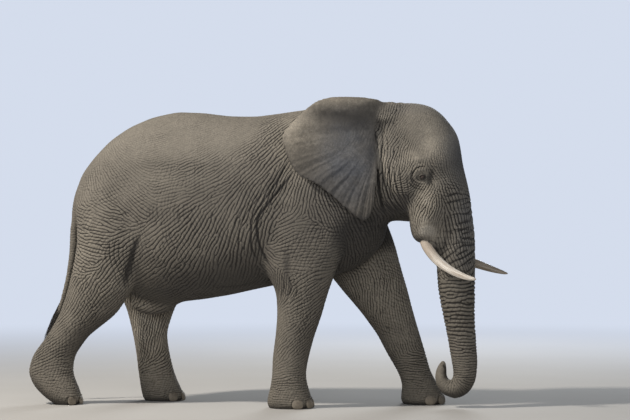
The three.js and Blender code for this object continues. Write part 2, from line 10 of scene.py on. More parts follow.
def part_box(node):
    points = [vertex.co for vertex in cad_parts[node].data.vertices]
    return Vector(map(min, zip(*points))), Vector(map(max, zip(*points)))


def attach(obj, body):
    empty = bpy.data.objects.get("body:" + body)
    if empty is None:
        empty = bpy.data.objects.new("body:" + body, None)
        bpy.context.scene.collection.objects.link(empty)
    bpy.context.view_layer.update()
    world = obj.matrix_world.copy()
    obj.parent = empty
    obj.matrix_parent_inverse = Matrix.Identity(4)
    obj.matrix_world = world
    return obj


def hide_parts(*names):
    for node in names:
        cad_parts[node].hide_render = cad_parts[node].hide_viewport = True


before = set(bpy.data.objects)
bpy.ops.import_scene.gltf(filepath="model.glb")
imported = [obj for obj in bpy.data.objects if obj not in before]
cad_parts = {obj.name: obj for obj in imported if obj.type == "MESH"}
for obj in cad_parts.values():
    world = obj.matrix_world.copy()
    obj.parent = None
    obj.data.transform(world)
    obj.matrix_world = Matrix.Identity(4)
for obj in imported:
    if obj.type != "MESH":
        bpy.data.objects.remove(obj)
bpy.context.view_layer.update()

# ---- the stand point, the floor and the light ------------------------------------------------
# The animal stands on a plain pale floor. A small hard lamp hangs high behind its right haunch, and
# two broad weak ones fill its shade from both sides. It is looked at through a long lens from its
# right, a little from the front.
STAND_POINT = {"away": 25.0, "turn": np.radians(10), "eye_level": 2.106, "ahead": 0.5198}
LENS = {"length": 132.27, "film": 36}
LIT_PLACE = Vector((0.2, 0, 1.6))


def look_from_the_side():
    data = bpy.data.cameras.new("long_lens")
    data.lens = LENS["length"]
    data.sensor_width = LENS["film"]
    data.clip_end = 20 * STAND_POINT["away"]
    camera = bpy.data.objects.new("stand_point", data)
    bpy.context.scene.collection.objects.link(camera)
    away, turn = STAND_POINT["away"], STAND_POINT["turn"]
    target = Vector((STAND_POINT["ahead"], 0, STAND_POINT["eye_level"]))
    back = Vector((np.sin(turn), -np.cos(turn), 0))
    camera.location = target + back * away
    camera.rotation_euler = (-back).to_track_quat("-Z", "Y").to_euler()
    bpy.context.scene.camera = camera


def lamp(name, place, size, watts, colour):
    data = bpy.data.lights.new(name, "AREA")
    data.shape = "DISK"
    data.size = size
    data.energy = watts
    data.color = colour
    light = bpy.data.objects.new(name, data)
    light.location = place
    light.rotation_euler = (LIT_PLACE - Vector(place)).to_track_quat("-Z", "Y").to_euler()
    bpy.context.scene.collection.objects.link(light)


class Wire:
    """A node's output in a material or world. Arithmetic on it adds Math nodes to the tree."""

    def __init__(self, tree, socket=None):
        self.tree = tree
        self.socket = socket

    def add(self, kind, settings=(), sockets=(), out=0):
        """A new node of a kind, its settings made first, then its sockets filled or wired."""
        node = self.tree.nodes.new("ShaderNode" + kind)
        for name, value in dict(settings).items():
            setattr(node, name, value)
        for name, value in dict(sockets).items():
            if isinstance(value, Wire):
                self.tree.links.new(value.socket, node.inputs[name])
            else:
                node.inputs[name].default_value = value
        return Wire(self.tree, node.outputs[out] if node.outputs else None)

    def math(self, operation, *values):
        return self.add("Math", {"operation": operation}, enumerate(values))

    def clamp(self, low, high):
        """Runs from 0 at low to 1 at high, smoothly."""
        ends = {"Value": self, "From Min": low, "From Max": high}
        return self.add("MapRange", {"interpolation_type": "SMOOTHSTEP"}, ends)

    def mix(self, low, high):
        """The colour low where this is 0 and high where it is 1."""
        return self.add("Mix", {"data_type": "RGBA"}, {0: self, 6: low, 7: high}, 2)

    def place(self):
        """Where a point is, in the piece's own metres."""
        return self.add("TexCoord", out="Object")

    def stored(self, name, out="Fac"):
        """A value that the mesh keeps under that name, or with out="Vector", three."""
        return self.add("Attribute", {"attribute_name": name}, out=out)

    def cloud(self, scale, detail):
        """Noise over this place, 0 to 1 and mostly near the middle."""
        return self.add("TexNoise", (), {"Vector": self, "Scale": scale, "Detail": detail})

    def bump(self, strength):
        """The normal of a relief that is this high, in metres."""
        return self.add("Bump", (), {"Height": self, "Distance": 1.0, "Strength": strength})

    def __add__(self, other):
        return self.math("ADD", self, other)

    __radd__ = __add__

    def __sub__(self, other):
        return self.math("SUBTRACT", self, other)

    def __rsub__(self, other):
        return self.math("SUBTRACT", other, self)

    def __mul__(self, other):
        return self.math("MULTIPLY", self, other)


def rgb(red, green, blue):
    return (red, green, blue, 1.0)


def material(name):
    """An empty material, and a wire to start its nodes from."""
    made = bpy.data.materials.new(name)
    made.use_nodes = True
    made.node_tree.nodes.clear()
    return made, Wire(made.node_tree)


def surface(start, **look):
    """Ends a material with one plain surface, whose sockets are given by name."""
    sockets = {name.replace("_", " "): value for name, value in look.items()}
    start.add("OutputMaterial", (), {"Surface": start.add("BsdfPrincipled", (), sockets)})


BACKDROP = rgb(0.66, 0.72, 0.84)
FLOOR_REACH = 150


def pale_floor():
    """A floor that turns, far behind the animal, into the tone of the backdrop."""
    mesh = bpy.data.meshes.new("floor")
    corners = [(x * FLOOR_REACH, y * FLOOR_REACH, 0) for x, y in ((-1, -1), (1, -1), (1, 1), (-1, 1))]
    mesh.from_pydata(corners, [], [(0, 1, 2, 3)])
    floor = bpy.data.objects.new("floor", mesh)
    bpy.context.scene.collection.objects.link(floor)
    paint, start = material("pale_floor")
    place = start.place()
    shade = place.cloud(0.6, 5.0).mix(rgb(0.44, 0.42, 0.39), rgb(0.50, 0.48, 0.45))
    look = {"Base Color": shade, "Roughness": 0.85, "Specular IOR Level": 0.2}
    near = start.add("BsdfPrincipled", (), look)
    far = start.add("Emission", (), {"Color": BACKDROP})
    distance = start.add("VectorMath", {"operation": "LENGTH"}, {0: place}, "Value")
    faded = start.add("MixShader", (), {0: distance.clamp(3.0, 19.0), 1: near, 2: far})
    start.add("OutputMaterial", (), {"Surface": faded})
    mesh.materials.append(paint)


def soft_surroundings():
    """A bright backdrop, of which little falls on the animal, so that its folds keep their shade."""
    world = bpy.data.worlds.new("pale_room")
    bpy.context.scene.world = world
    world.use_nodes = True
    world.node_tree.nodes.clear()
    start = Wire(world.node_tree)
    seen = start.add("Background", (), {"Color": BACKDROP, "Strength": 1.0})
    cast = start.add("Background", (), {"Color": rgb(0.80, 0.86, 0.95), "Strength": 0.25})
    by_eye = start.add("LightPath", out="Is Camera Ray")
    chosen = start.add("MixShader", (), {0: by_eye, 1: cast, 2: seen})
    start.add("OutputWorld", (), {"Surface": chosen})


bpy.context.scene.view_settings.view_transform = "Standard"
look_from_the_side()
soft_surroundings()
pale_floor()
lamp("high_lamp", (-9.0, -7.0, 13.0), 1.6, 2650, (1.0, 0.955, 0.89))
lamp("low_lamp", (3.0, -15.0, 3.5), 7.0, 560, (0.95, 0.97, 1.0))
lamp("far_lamp", (1.0, 14.0, 7.0), 6.0, 900, (0.92, 0.96, 1.0))


# ---- the skin --------------------------------------------------------------------------------
# One hide without a seam, 20 to 30 mm thick on the back and thin on the ears, hangs over the
# whole body. It is made from the frame's solids, melted together, smoothed, and then modelled.
FLESH = [
    name
    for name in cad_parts
    if not name.startswith(("ear", "eye", "nail", "tusk")) and name != "tail_tuft"
]
EARS = ["ear_right", "ear_left"]
NAILS = [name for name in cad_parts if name.startswith("nail")]
PLUGS = [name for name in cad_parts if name.startswith(("eye", "nail"))]
TUSKS = ["tusk_right", "tusk_left"]
HEAD_TURN = np.radians(5)
FIRST_VOXEL = 0.018
BASE_VOXEL = 0.017
OVERLAP = 0.0008


def read(items, what, width, kind=np.float32):
    """One array of a mesh's vertices, edges or faces."""
    flat = np.empty(len(items) * width, kind)
    items.foreach_get(what, flat)
    return flat.reshape(-1, width) if width > 1 else flat


def box_of(node):
    """The two corners of a part's box as arrays; torso_right is the right half of the torso."""
    low, high = (np.array(corner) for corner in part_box(node.replace("torso_right", "torso")))
    return low, high


def tree_of(points):
    """A tree that finds the nearest of some points."""
    tree = kdtree.KDTree(len(points))
    for i, point in enumerate(points):
        tree.insert(point, i)
    tree.balance()
    return tree


def eased(values):
    """Values cut off at 0 and 1, with a soft start and end."""
    values = np.clip(values, 0, 1)
    return values * values * (3 - 2 * values)


# The inner finger of the trunk's tip: where it starts in the tip's box, and its share kept.
INNER_FINGER = {"along": 0.66, "up": 0.45, "kept": 0.15}


def draw_back_finger(solid):
    """Draws the inner finger of the trunk's tip back, so that light shows between it and the
    trunk."""
    low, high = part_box("trunk_tip")
    wall = low.x + INNER_FINGER["along"] * (high.x - low.x)
    floor = low.z + INNER_FINGER["up"] * (high.z - low.z)
    for vert in solid.verts:
        if vert.co.x > wall and vert.co.z > floor:
            vert.co.x = wall + INNER_FINGER["kept"] * (vert.co.x - wall)


def add_node(into, name, above=None):
    """Adds a node of the frame, or what of it lies above a height, to a bmesh. It is a little
    fattened so that neighbours overlap."""
    solid = bmesh.new()
    solid.from_mesh(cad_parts[name].data)
    bmesh.ops.remove_doubles(solid, verts=solid.verts, dist=1e-5)
    if name == "trunk_tip":
        draw_back_finger(solid)
    if above is not None:
        every = solid.verts[:] + solid.edges[:] + solid.faces[:]
        cut = bmesh.ops.bisect_plane(
            solid, geom=every, plane_co=(0, 0, above), plane_no=(0, 0, 1), clear_inner=True
        )
        rim = [edge for edge in cut["geom_cut"] if isinstance(edge, bmesh.types.BMEdge)]
        bmesh.ops.contextual_create(solid, geom=rim)
    bmesh.ops.recalc_face_normals(solid, faces=solid.faces)
    solid.normal_update()
    for vert in solid.verts:
        vert.co += vert.normal * OVERLAP
    piece = bpy.data.meshes.new(name + "_copy")
    solid.to_mesh(piece)
    solid.free()
    into.from_mesh(piece)
    bpy.data.meshes.remove(piece)


def made_by(mesh, kind, **settings):
    """The mesh as a modifier leaves it."""
    lump = bpy.data.objects.new("lump", mesh)
    bpy.context.scene.collection.objects.link(lump)
    modifier = lump.modifiers.new(kind.lower(), kind)
    for name, value in settings.items():
        setattr(modifier, name, value)
    seen = lump.evaluated_get(bpy.context.evaluated_depsgraph_get())
    result = bpy.data.meshes.new_from_object(seen)
    bpy.data.objects.remove(lump)
    return result


class Hide:
    """A mesh as arrays of points and edges, with sums over each point's neighbours."""

    def __init__(self, mesh):
        self.mesh = mesh
        self.points = read(mesh.vertices, "co", 3).astype(float)
        self.edges = read(mesh.edges, "vertices", 2, np.int32)
        self.links = np.bincount(self.edges.ravel(), minlength=len(self.points))

    def around(self, values):
        """The mean of each point's neighbours."""
        one, other = self.edges.T
        count = len(self.points)
        columns = values.reshape(count, -1).T
        sums = [
            np.bincount(one, c[other], count) + np.bincount(other, c[one], count) for c in columns
        ]
        return (np.array(sums) / self.links).T.reshape(values.shape)

    def spread(self, values, times):
        """The values, blended with their neighbours that many times."""
        for _ in range(times):
            values = 0.5 * (values + self.around(values))
        return values

    def store(self):
        self.mesh.vertices.foreach_set("co", self.points.ravel().astype(np.float32))
        self.mesh.update()

    def normals(self):
        self.store()
        return read(self.mesh.vertex_normals, "vector", 3).astype(float)


def smoothed(hide, times, wider):
    """Smooths away the facets, then gives back the girth that this took."""
    start = hide.points
    hide.points = hide.spread(start, times)
    normals = hide.normals()
    lost = ((start - hide.points) * normals).sum(1)
    hide.points = hide.points + normals * hide.spread(lost, wider)[:, None]


# Flesh that rounds off the corners between nodes: where in the box of a part, along, out to the
# side from its middle and up, and its half sizes in metres.
PADS = [
    ("head", 0.22, 0.60, 0.985, (0.15, 0.085, 0.055)),
    ("head", 0.66, 0.60, 0.00, (0.075, 0.075, 0.105)),
    ("head", 0.15, 0.68, 0.90, (0.170, 0.090, 0.100)),
    ("head", 0.74, 0.46, 0.15, (0.090, 0.085, 0.150)),
]


def add_pads(into):
    for name, along, out, up, half in PADS:
        low, high = box_of(name)
        middle, size = (low + high) / 2, high - low
        for side in (-1, 1):
            place = low + size * [along, 0, up]
            place[1] = middle[1] + side * out * size[1] / 2
            place[0] += side * out * size[1] / 2 * np.sin(HEAD_TURN)
            where = Matrix.LocRotScale(Vector(place), None, Vector(half))
            bmesh.ops.create_icosphere(into, subdivisions=3, radius=1, matrix=where)


# Smoothing: how often for the crisp parts and the soft ones, how far round the tip of the trunk
# and how high over the sole the crisp parts reach in metres, and how crisp the soles are.
SOFTENING = {"crisp": 7, "soft": 60, "girth": 150, "tip": 0.10, "sole": 0.10, "sole_share": 0.6}
SOCKET_DEPTH = 0.03


def body_without_ears():
    joined = bmesh.new()
    for name in FLESH + PLUGS:
        add_node(joined, name)
    add_pads(joined)
    for name in TUSKS:
        add_node(joined, name, above=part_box("head")[0].z + SOCKET_DEPTH)
    mesh = bpy.data.meshes.new("body_copy")
    joined.to_mesh(mesh)
    joined.free()
    hide = Hide(made_by(mesh, "REMESH", mode="VOXEL", voxel_size=FIRST_VOXEL))
    crisp = hide.spread(hide.points, SOFTENING["crisp"])
    low, high = box_of("trunk_tip")
    outside = np.maximum(low - crisp, crisp - high).clip(0).max(1)
    kept = np.clip(1 - outside / SOFTENING["tip"], 0, 1) ** 2
    by_floor = np.clip(1.6 - hide.points[:, 2] / SOFTENING["sole"], 0, 1)
    kept = np.maximum(kept, SOFTENING["sole_share"] * by_floor)
    smoothed(hide, SOFTENING["soft"], SOFTENING["girth"])
    hide.points = hide.points + (crisp - hide.points) * kept[:, None]
    hide.store()
    return hide.mesh


# The ear as a sheet from its root to its rim, in parts of its node's box: along, out from the
# head and up, with the thickness at the rim and the depth of the dome on the way, in metres.
EAR_RIM = np.array(
    [
        [0.965, 0.210, 0.962, 0.070, 0.000],
        [0.880, 0.310, 0.979, 0.066, 0.015],
        [0.720, 0.398, 0.994, 0.060, 0.045],
        [0.570, 0.475, 1.000, 0.056, 0.060],
        [0.433, 0.565, 0.991, 0.050, 0.060],
        [0.297, 0.675, 0.950, 0.042, 0.048],
        [0.165, 0.771, 0.855, 0.032, 0.030],
        [0.057, 0.844, 0.753, 0.030, 0.012],
        [0.000, 0.898, 0.674, 0.028, 0.000],
        [0.027, 0.940, 0.580, 0.028, 0.000],
        [0.088, 0.971, 0.456, 0.028, 0.000],
        [0.181, 0.983, 0.356, 0.028, 0.000],
        [0.331, 0.971, 0.293, 0.028, 0.000],
        [0.481, 0.940, 0.196, 0.028, 0.000],
        [0.605, 0.906, 0.100, 0.028, 0.000],
        [0.712, 0.871, 0.023, 0.028, 0.000],
        [0.787, 0.837, 0.000, 0.028, 0.000],
        [0.846, 0.790, 0.048, 0.028, 0.000],
        [0.876, 0.725, 0.161, 0.028, 0.000],
        [0.888, 0.613, 0.312, 0.032, 0.000],
        [0.885, 0.460, 0.456, 0.040, 0.000],
    ]
)
EAR_ROOT = np.array(
    [
        [0, 1.000, 0.087, 0.940],
        [3, 0.899, 0.187, 0.848],
        [8, 0.848, 0.252, 0.735],
        [14, 0.858, 0.294, 0.606],
        [20, 0.880, 0.313, 0.493],
    ]
)
EAR_SPOKES, EAR_ACROSS = 200, 40
EAR_ROOT_THICK = 0.09
EAR_INWARD = 0.012  # by which the sheet lies closer to the neck than the middle of its solid
EAR_HOLLOW = 2.2  # how soon on its way out the ear swings away from the head


def through(rows, knots, places):
    """Each column of the rows as a smooth curve through its knots."""
    slopes = np.gradient(rows, knots, axis=0)
    low = np.clip(np.searchsorted(knots, places, "right") - 1, 0, len(knots) - 2)
    span = (knots[low + 1] - knots[low])[:, None]
    t = (places - knots[low])[:, None] / span
    ends = rows[low] * (1 + 2 * t) * (1 - t) ** 2 + rows[low + 1] * t * t * (3 - 2 * t)
    return ends + span * (slopes[low] * t * (1 - t) ** 2 - slopes[low + 1] * t * t * (1 - t))


def ear_sheet(name):
    """Points and half thickness of an ear's middle sheet, spoke by spoke from root to rim."""
    low, high = box_of(name)
    side = np.sign(low[1] + high[1])
    near, far = sorted((abs(low[1]), abs(high[1])))
    corner, size = np.array([low[0], near, low[2]]), np.array([high[0], far, high[2]])
    size = size - corner
    places = np.linspace(0, len(EAR_RIM) - 1, EAR_SPOKES)
    rows = through(EAR_RIM, np.arange(float(len(EAR_RIM))), places)
    rim = corner + rows[:, :3] * size
    root = corner + through(EAR_ROOT[:, 1:], EAR_ROOT[:, 0], places) * size
    out = np.linspace(0, 1, EAR_ACROSS)[None, :, None]
    sheet = root[:, None] * (1 - out) + rim[:, None] * out
    run, rim_thick, dome = out[..., 0], rows[:, 3:4], rows[:, 4:5]
    reach = (rim - root)[:, 1:2]
    swing = 1 - (1 - run) ** EAR_HOLLOW
    sheet[..., 1] = root[:, 1:2] + reach * swing + dome * np.sin(np.pi * run)
    sheet[..., 1] -= EAR_INWARD
    blend = np.minimum(1, run * 1.5)
    half = (EAR_ROOT_THICK * (1 - blend) + rim_thick * blend) / 2
    half = half * np.sqrt(1 - np.clip((run - 0.97) / 0.03, 0, 1) ** 2 * 0.8)
    sheet[..., 1] *= side
    return sheet, half, side


def ear_faces(name):
    """The points of the outer face of an ear, followed by those of the inner face."""
    sheet, half, side = ear_sheet(name)
    apart = np.zeros_like(sheet)
    apart[..., 1] = half * side
    return np.concatenate([(sheet + apart).reshape(-1, 3), (sheet - apart).reshape(-1, 3)])


def ear_solid(name):
    outer = np.arange(EAR_SPOKES * EAR_ACROSS).reshape(EAR_SPOKES, EAR_ACROSS)
    inner = outer + outer.size
    loop = np.concatenate([outer, inner[:, ::-1]], 1)
    ring = np.stack([loop, np.roll(loop, -1, 1)], -1)
    quads = np.concatenate([ring[:-1], ring[1:, :, ::-1]], -1).reshape(-1, 4)
    ends = np.stack([outer[:, :-1], outer[:, 1:], inner[:, 1:], inner[:, :-1]], -1)
    quads = np.concatenate([quads, ends[0], ends[-1, :, ::-1]])
    mesh = bpy.data.meshes.new(name + "_solid")
    mesh.from_pydata(ear_faces(name).tolist(), [], quads.tolist())
    solid = bmesh.new()
    solid.from_mesh(mesh)
    bmesh.ops.recalc_face_normals(solid, faces=solid.faces)
    solid.to_mesh(mesh)
    solid.free()
    return mesh


def whole_body():
    joined = bmesh.new()
    for mesh in [body_without_ears(), *(ear_solid(name) for name in EARS)]:
        joined.from_mesh(mesh)
    mesh = bpy.data.meshes.new("joined")
    joined.to_mesh(mesh)
    joined.free()
    hide = Hide(made_by(mesh, "REMESH", mode="VOXEL", voxel_size=BASE_VOXEL))
    smoothed(hide, 4, 8)
    return hide


EAR_MARGIN = 0.03  # round the box of an ear, in which points of the hide may be on that ear
EAR_NEAR = 0.012  # how close to its faces they then are
PART_BLEND = 12


def parts_of(hide):
    """Which part of the body each point belongs to, as weights that fade into one another."""
    corners, faces, owners = [], [], []
    for name in FLESH:
        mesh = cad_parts[name].data
        first = len(corners)
        corners += [vert.co[:] for vert in mesh.vertices]
        faces += [[first + i for i in face.vertices] for face in mesh.polygons]
        owners += [name] * len(mesh.polygons)
    tree = BVHTree.FromPolygons(corners, faces)
    names = FLESH + EARS
    order = {name: i for i, name in enumerate(names)}
    nearest = [order[owners[tree.find_nearest(point)[2]]] for point in hide.points]
    for name in EARS:
        tree = tree_of(ear_faces(name))
        low, high = box_of(name)
        inside = np.all((hide.points > low - EAR_MARGIN) & (hide.points < high + EAR_MARGIN), 1)
        for i in np.flatnonzero(inside):
            if tree.find(hide.points[i])[2] < EAR_NEAR:
                nearest[i] = order[name]
    only = np.eye(len(names))[nearest]
    soft = hide.spread(only, PART_BLEND)
    return {name: soft[:, i] for name, i in order.items()}


class Finer:
    """A mesh with every face cut into quads, smoothly, and the same cut for other values."""

    def __init__(self, hide):
        mesh = hide.mesh
        self.edges = hide.edges
        self.corner = read(mesh.loops, "vertex_index", 1, np.int32)
        self.side = read(mesh.loops, "edge_index", 1, np.int32)
        self.starts = read(mesh.polygons, "loop_start", 1, np.int32)
        self.sizes = read(mesh.polygons, "loop_total", 1, np.int32)
        self.face = np.repeat(np.arange(len(self.sizes)), self.sizes)
        self.before = np.arange(len(self.corner)) - 1
        self.before[self.starts] = self.starts + self.sizes - 1
        self.after = np.empty_like(self.before)
        self.after[self.before] = np.arange(len(self.corner))
        points = hide.points
        count = len(points)
        middle = self.of_faces(points[self.corner])
        ends = points[self.edges].mean(1)
        per_edge = np.bincount(self.side)[:, None]
        beside = self.sum_at(self.side, middle[self.face], len(self.edges)) / per_edge
        edge = (ends + beside) / 2
        valence = np.bincount(self.corner, minlength=count)[:, None]
        beside = self.sum_at(self.corner, middle[self.face], count) / valence
        both = np.concatenate([self.edges[:, 0], self.edges[:, 1]])
        ring = self.sum_at(both, np.concatenate([ends, ends]), count) / hide.links[:, None]
        corner = (beside + 2 * ring + (valence - 3) * points) / valence
        self.points = np.concatenate([corner, edge, middle])
        self.mesh = self.built(count)

    def sum_at(self, where, values, count):
        return np.array([np.bincount(where, column, count) for column in values.T]).T

    def of_faces(self, loops):
        return np.add.reduceat(loops, self.starts) / self.sizes.reshape(-1, *[1] * (loops.ndim - 1))

    def of(self, values):
        """Values at the points of the coarse mesh, for the points of the fine one."""
        middle = self.of_faces(values[self.corner])
        return np.concatenate([values, values[self.edges].mean(1), middle])

    def of_corners(self, loops):
        """The same for values at the corners of faces, such as places on the unwrap."""
        following = (loops + loops[self.after]) / 2
        middle = self.of_faces(loops)[self.face]
        corners = np.stack([loops, following, middle, following[self.before]], 1)
        return corners.reshape(-1, loops.shape[1])

    def built(self, count):
        edge_point = count + self.side
        face_point = count + len(self.edges) + self.face
        quads = np.stack([self.corner, edge_point, face_point, edge_point[self.before]], 1)
        mesh = bpy.data.meshes.new("hide")
        mesh.vertices.add(len(self.points))
        mesh.loops.add(quads.size)
        mesh.polygons.add(len(quads))
        mesh.vertices.foreach_set("co", self.points.ravel().astype(np.float32))
        mesh.loops.foreach_set("vertex_index", quads.ravel().astype(np.int32))
        mesh.polygons.foreach_set("loop_start", np.arange(0, quads.size, 4, dtype=np.int32))
        mesh.update(calc_edges=True)
        mesh.polygons.foreach_set("use_smooth", np.ones(len(quads), bool))
        return mesh


def refine(mesh, places, reach):
    """Cuts the faces within reach of some places in four."""
    shape = bmesh.new()
    shape.from_mesh(mesh)
    near = [
        vert
        for vert in shape.verts
        if any((vert.co - place).length < reach for place in places)
    ]
    edges = {edge for vert in near for edge in vert.link_edges}
    bmesh.ops.subdivide_edges(shape, edges=list(edges), cuts=1, use_grid_fill=True)
    shape.to_mesh(mesh)
    shape.free()


def unwrap(mesh):
    """The map of the whole skin that its colours are laid out on."""
    lump = bpy.data.objects.new("lump", mesh)
    bpy.context.scene.collection.objects.link(lump)
    bpy.context.view_layer.objects.active = lump
    mesh.uv_layers.new(name="OFBake")
    bpy.ops.object.select_all(action="DESELECT")
    lump.select_set(True)
    bpy.ops.object.mode_set(mode="EDIT")
    bpy.ops.mesh.select_all(action="SELECT")
    bpy.ops.uv.smart_project(angle_limit=1.2, island_margin=0.001)
    bpy.ops.object.mode_set(mode="OBJECT")
    places = read(mesh.uv_layers["OFBake"].data, "uv", 2)
    bpy.data.objects.remove(lump)
    return places


# How the wrinkles run on each part: where in its box, along and up, the slope of the wrinkles in
# degrees as seen from the side, their spacing, their depth, and the depth of those across them.
COMB = {
    "torso": [
        (0.22, 0.87, 25, 26, 1.2, 0.6),
        (0.35, 0.85, 20, 26, 1.2, 0.6),
        (0.54, 0.87, 30, 26, 1.5, 0.6),
        (0.35, 0.63, 15, 34, 3, 2),
        (0.47, 0.63, 32, 38, 4, 1.5),
        (0.57, 0.72, 42, 38, 4.5, 1.5),
        (0.66, 0.76, 55, 38, 5, 1.5),
        (0.69, 0.63, 62, 40, 6, 1.5),
        (0.6, 0.49, 68, 42, 6, 1.5),
        (0.57, 0.31, 80, 42, 5.5, 1.5),
        (0.47, 0.4, 58, 42, 6, 2),
        (0.47, 0.28, 66, 42, 5, 1.5),
        (0.41, 0.31, 50, 42, 6, 2),
        (0.35, 0.22, 45, 42, 6, 2),
        (0.32, 0.45, 38, 40, 5.5, 3),
        (0.29, 0.15, 30, 38, 4, 2),
        (0.54, 0.18, 80, 36, 3, 1.5),
        (0.11, 0.68, -60, 30, 2, 1.2),
        (0.17, 0.8, -40, 26, 1.5, 0.8),
        (0.19, 0.61, -45, 32, 2.5, 2),
        (0.25, 0.56, -38, 34, 3, 2.5),
        (0.87, 0.49, -65, 36, 5, 2),
        (0.98, 0.44, -60, 36, 5, 2),
    ],
    "leg_hind_right": [
        (0.57, 0.89, -62, 30, 2.5, 1.5),
        (0.74, 0.87, -45, 32, 3, 2.5),
        (0.61, 0.77, -8, 36, 4.5, 3),
        (0.83, 0.74, -20, 38, 4.5, 4),
        (0.7, 0.65, -12, 38, 5, 3),
        (0.9, 0.63, 30, 40, 5.5, 3.5),
        (0.59, 0.55, -20, 38, 4.5, 2.5),
        (0.74, 0.5, 50, 38, 5, 2.5),
        (0.91, 0.54, 45, 40, 5.5, 3),
        (0.66, 0.41, 55, 36, 4.5, 2.5),
        (0.47, 0.36, 60, 34, 4, 2.5),
        (0.79, 0.36, 50, 34, 4, 2),
        (0.42, 0.24, 40, 32, 3.5, 2.5),
        (0.24, 0.14, 30, 32, 3.5, 2),
        (0.56, 0.15, 30, 32, 3, 2),
        (0.38, 0.05, 10, 30, 3, 2),
    ],
    "leg_hind_left": [
        (0.48, 0.27, 75, 32, 5, 3),
        (0.6, 0.14, 80, 32, 5, 3),
        (0.71, 0.02, 20, 30, 5, 2),
    ],
    "leg_fore_right": [
        (0.47, 0.84, 75, 36, 5, 2),
        (0.85, 0.73, -68, 36, 5, 2.5),
        (0.68, 0.61, 6, 34, 3.5, 3.5),
        (0.52, 0.55, 3, 34, 3.5, 3),
        (0.27, 0.61, 22, 36, 4.5, 3),
        (0.1, 0.67, 38, 38, 5, 2.5),
        (0.06, 0.55, -40, 36, 4.5, 2.5),
        (0.43, 0.49, 0, 36, 3.5, 2.5),
        (0.27, 0.42, 82, 30, 4, 2),
        (0.52, 0.42, 38, 34, 4.5, 2),
        (0.43, 0.33, 33, 32, 4, 2),
        (0.22, 0.27, 25, 28, 1.8, 1.5),
        (0.5, 0.21, 44, 32, 4.5, 2),
        (0.27, 0.18, 40, 28, 2.5, 1.5),
        (0.31, 0.12, 48, 30, 4.5, 2),
        (0.47, 0.09, 30, 28, 3.5, 2),
        (0.35, 0.03, 5, 28, 3.5, 1.5),
    ],
    "leg_fore_left": [
        (0.25, 0.54, -55, 32, 4, 2.5),
        (0.38, 0.51, -65, 32, 4, 2.5),
        (0.56, 0.35, 85, 30, 3.5, 2.5),
        (0.67, 0.22, -78, 30, 3.5, 2.5),
        (0.76, 0.14, -75, 30, 3.5, 2.5),
        (0.88, 0.06, -5, 30, 5, 1.5),
        (0.75, 0.04, 5, 28, 3, 1.5),
        (0.92, -0.02, -10, 28, 4.5, 1.5),
    ],
    "head": [
        (0.12, 0.91, 68, 28, 5, 1.2),
        (0.24, 0.98, 70, 28, 3.5, 1),
        (0.27, 0.71, 56, 28, 4.5, 1.2),
        (0.42, 0.87, 60, 26, 1.5, 0.8),
        (0.56, 0.76, 60, 26, 0.8, 0.6),
        (0.73, 0.94, 70, 26, 0.8, 0.6),
        (0.16, 0.59, 86, 34, 5.5, 1),
        (0.19, 0.48, 88, 36, 6.5, 1),
        (0.15, 0.34, -80, 36, 6, 1),
        (0.24, 0.27, -60, 36, 6, 1),
        (0.34, 0.59, 80, 26, 4, 1.5),
        (0.38, 0.41, 8, 28, 4.5, 2.5),
        (0.34, 0.3, -62, 30, 5, 1.5),
        (0.44, 0.46, 60, 26, 3, 1.5),
        (0.53, 0.36, 50, 28, 5, 2),
        (0.65, 0.37, 55, 28, 3.5, 2.5),
        (0.56, 0.21, 66, 30, 4.5, 2),
        (0.52, 0.08, -60, 28, 3, 1.5),
        (0.68, 0.09, 80, 28, 3, 1.5),
        (0.77, 0.36, -66, 32, 4.5, 3.5),
        (0.71, 0.46, -52, 28, 3.5, 2),
        (0.85, 0.56, -80, 28, 2, 1.5),
        (0.89, 0.73, -80, 26, 1.2, 0.8),
    ],
    "trunk_upper": [
        (0.5, 0.9, -70, 36, 4.2, 4.5),
        (0.66, 0.73, -78, 38, 4.5, 5.5),
        (0.84, 0.84, -80, 38, 3.4, 5),
        (0.5, 0.53, -80, 36, 3.8, 5),
        (0.78, 0.43, -82, 38, 4.2, 6),
        (0.64, 0.22, -60, 36, 3.4, 5.2),
    ],
    "neck": [
        (0.6, 0.22, -80, 36, 4, 2),
        (0.8, -0.01, -65, 36, 5, 2),
        (0.21, 0.08, -60, 36, 5, 2),
    ],
    "lower_jaw": [(0.5, 0.5, 10, 24, 2, 1.5)],
    "trunk_middle": [(0.5, 0.5, 0, 44, 7, 1.5)],
    "trunk_lower": [(0.5, 1.0, 0, 36, 6, 1.2), (0.5, 0.4, 0, 28, 4.5, 1), (0.5, 0.0, 0, 24, 3, 1)],
    "trunk_tip": [(0.5, 0.0, 0, 22, 2, 0.8), (0.5, 1.0, 0, 18, 1.5, 0.8)],
    "foot_fore_right": [(0.5, 0.9, 5, 28, 3.5, 2), (0.5, 0.3, 0, 24, 2, 2)],
    "foot_fore_left": [(0.5, 0.9, -5, 28, 3.5, 2), (0.5, 0.3, 0, 24, 2, 2)],
    "foot_hind_right": [(0.5, 0.9, 0, 28, 3, 2), (0.5, 0.3, 0, 24, 2, 2)],
    "foot_hind_left": [(0.5, 0.9, 0, 28, 3, 2), (0.5, 0.3, 0, 24, 2, 2)],
    "tail": [(0.5, 0.5, 0, 26, 2, 1)],
    "ear_right": [(0.5, 0.5, 60, 30, 0.8, 0.6)],
    "ear_left": [(0.5, 0.5, 60, 30, 0.8, 0.6)],
}
CLOSER = 0.97  # than the spacings of those rows
COMB_BLEND = 0.004  # how widely the rows run into one another, in square metres
UP = np.array([0.0, 0.0, 1.0])


def unit(vectors):
    return vectors / np.maximum(np.linalg.norm(vectors, axis=-1, keepdims=True), 1e-9)


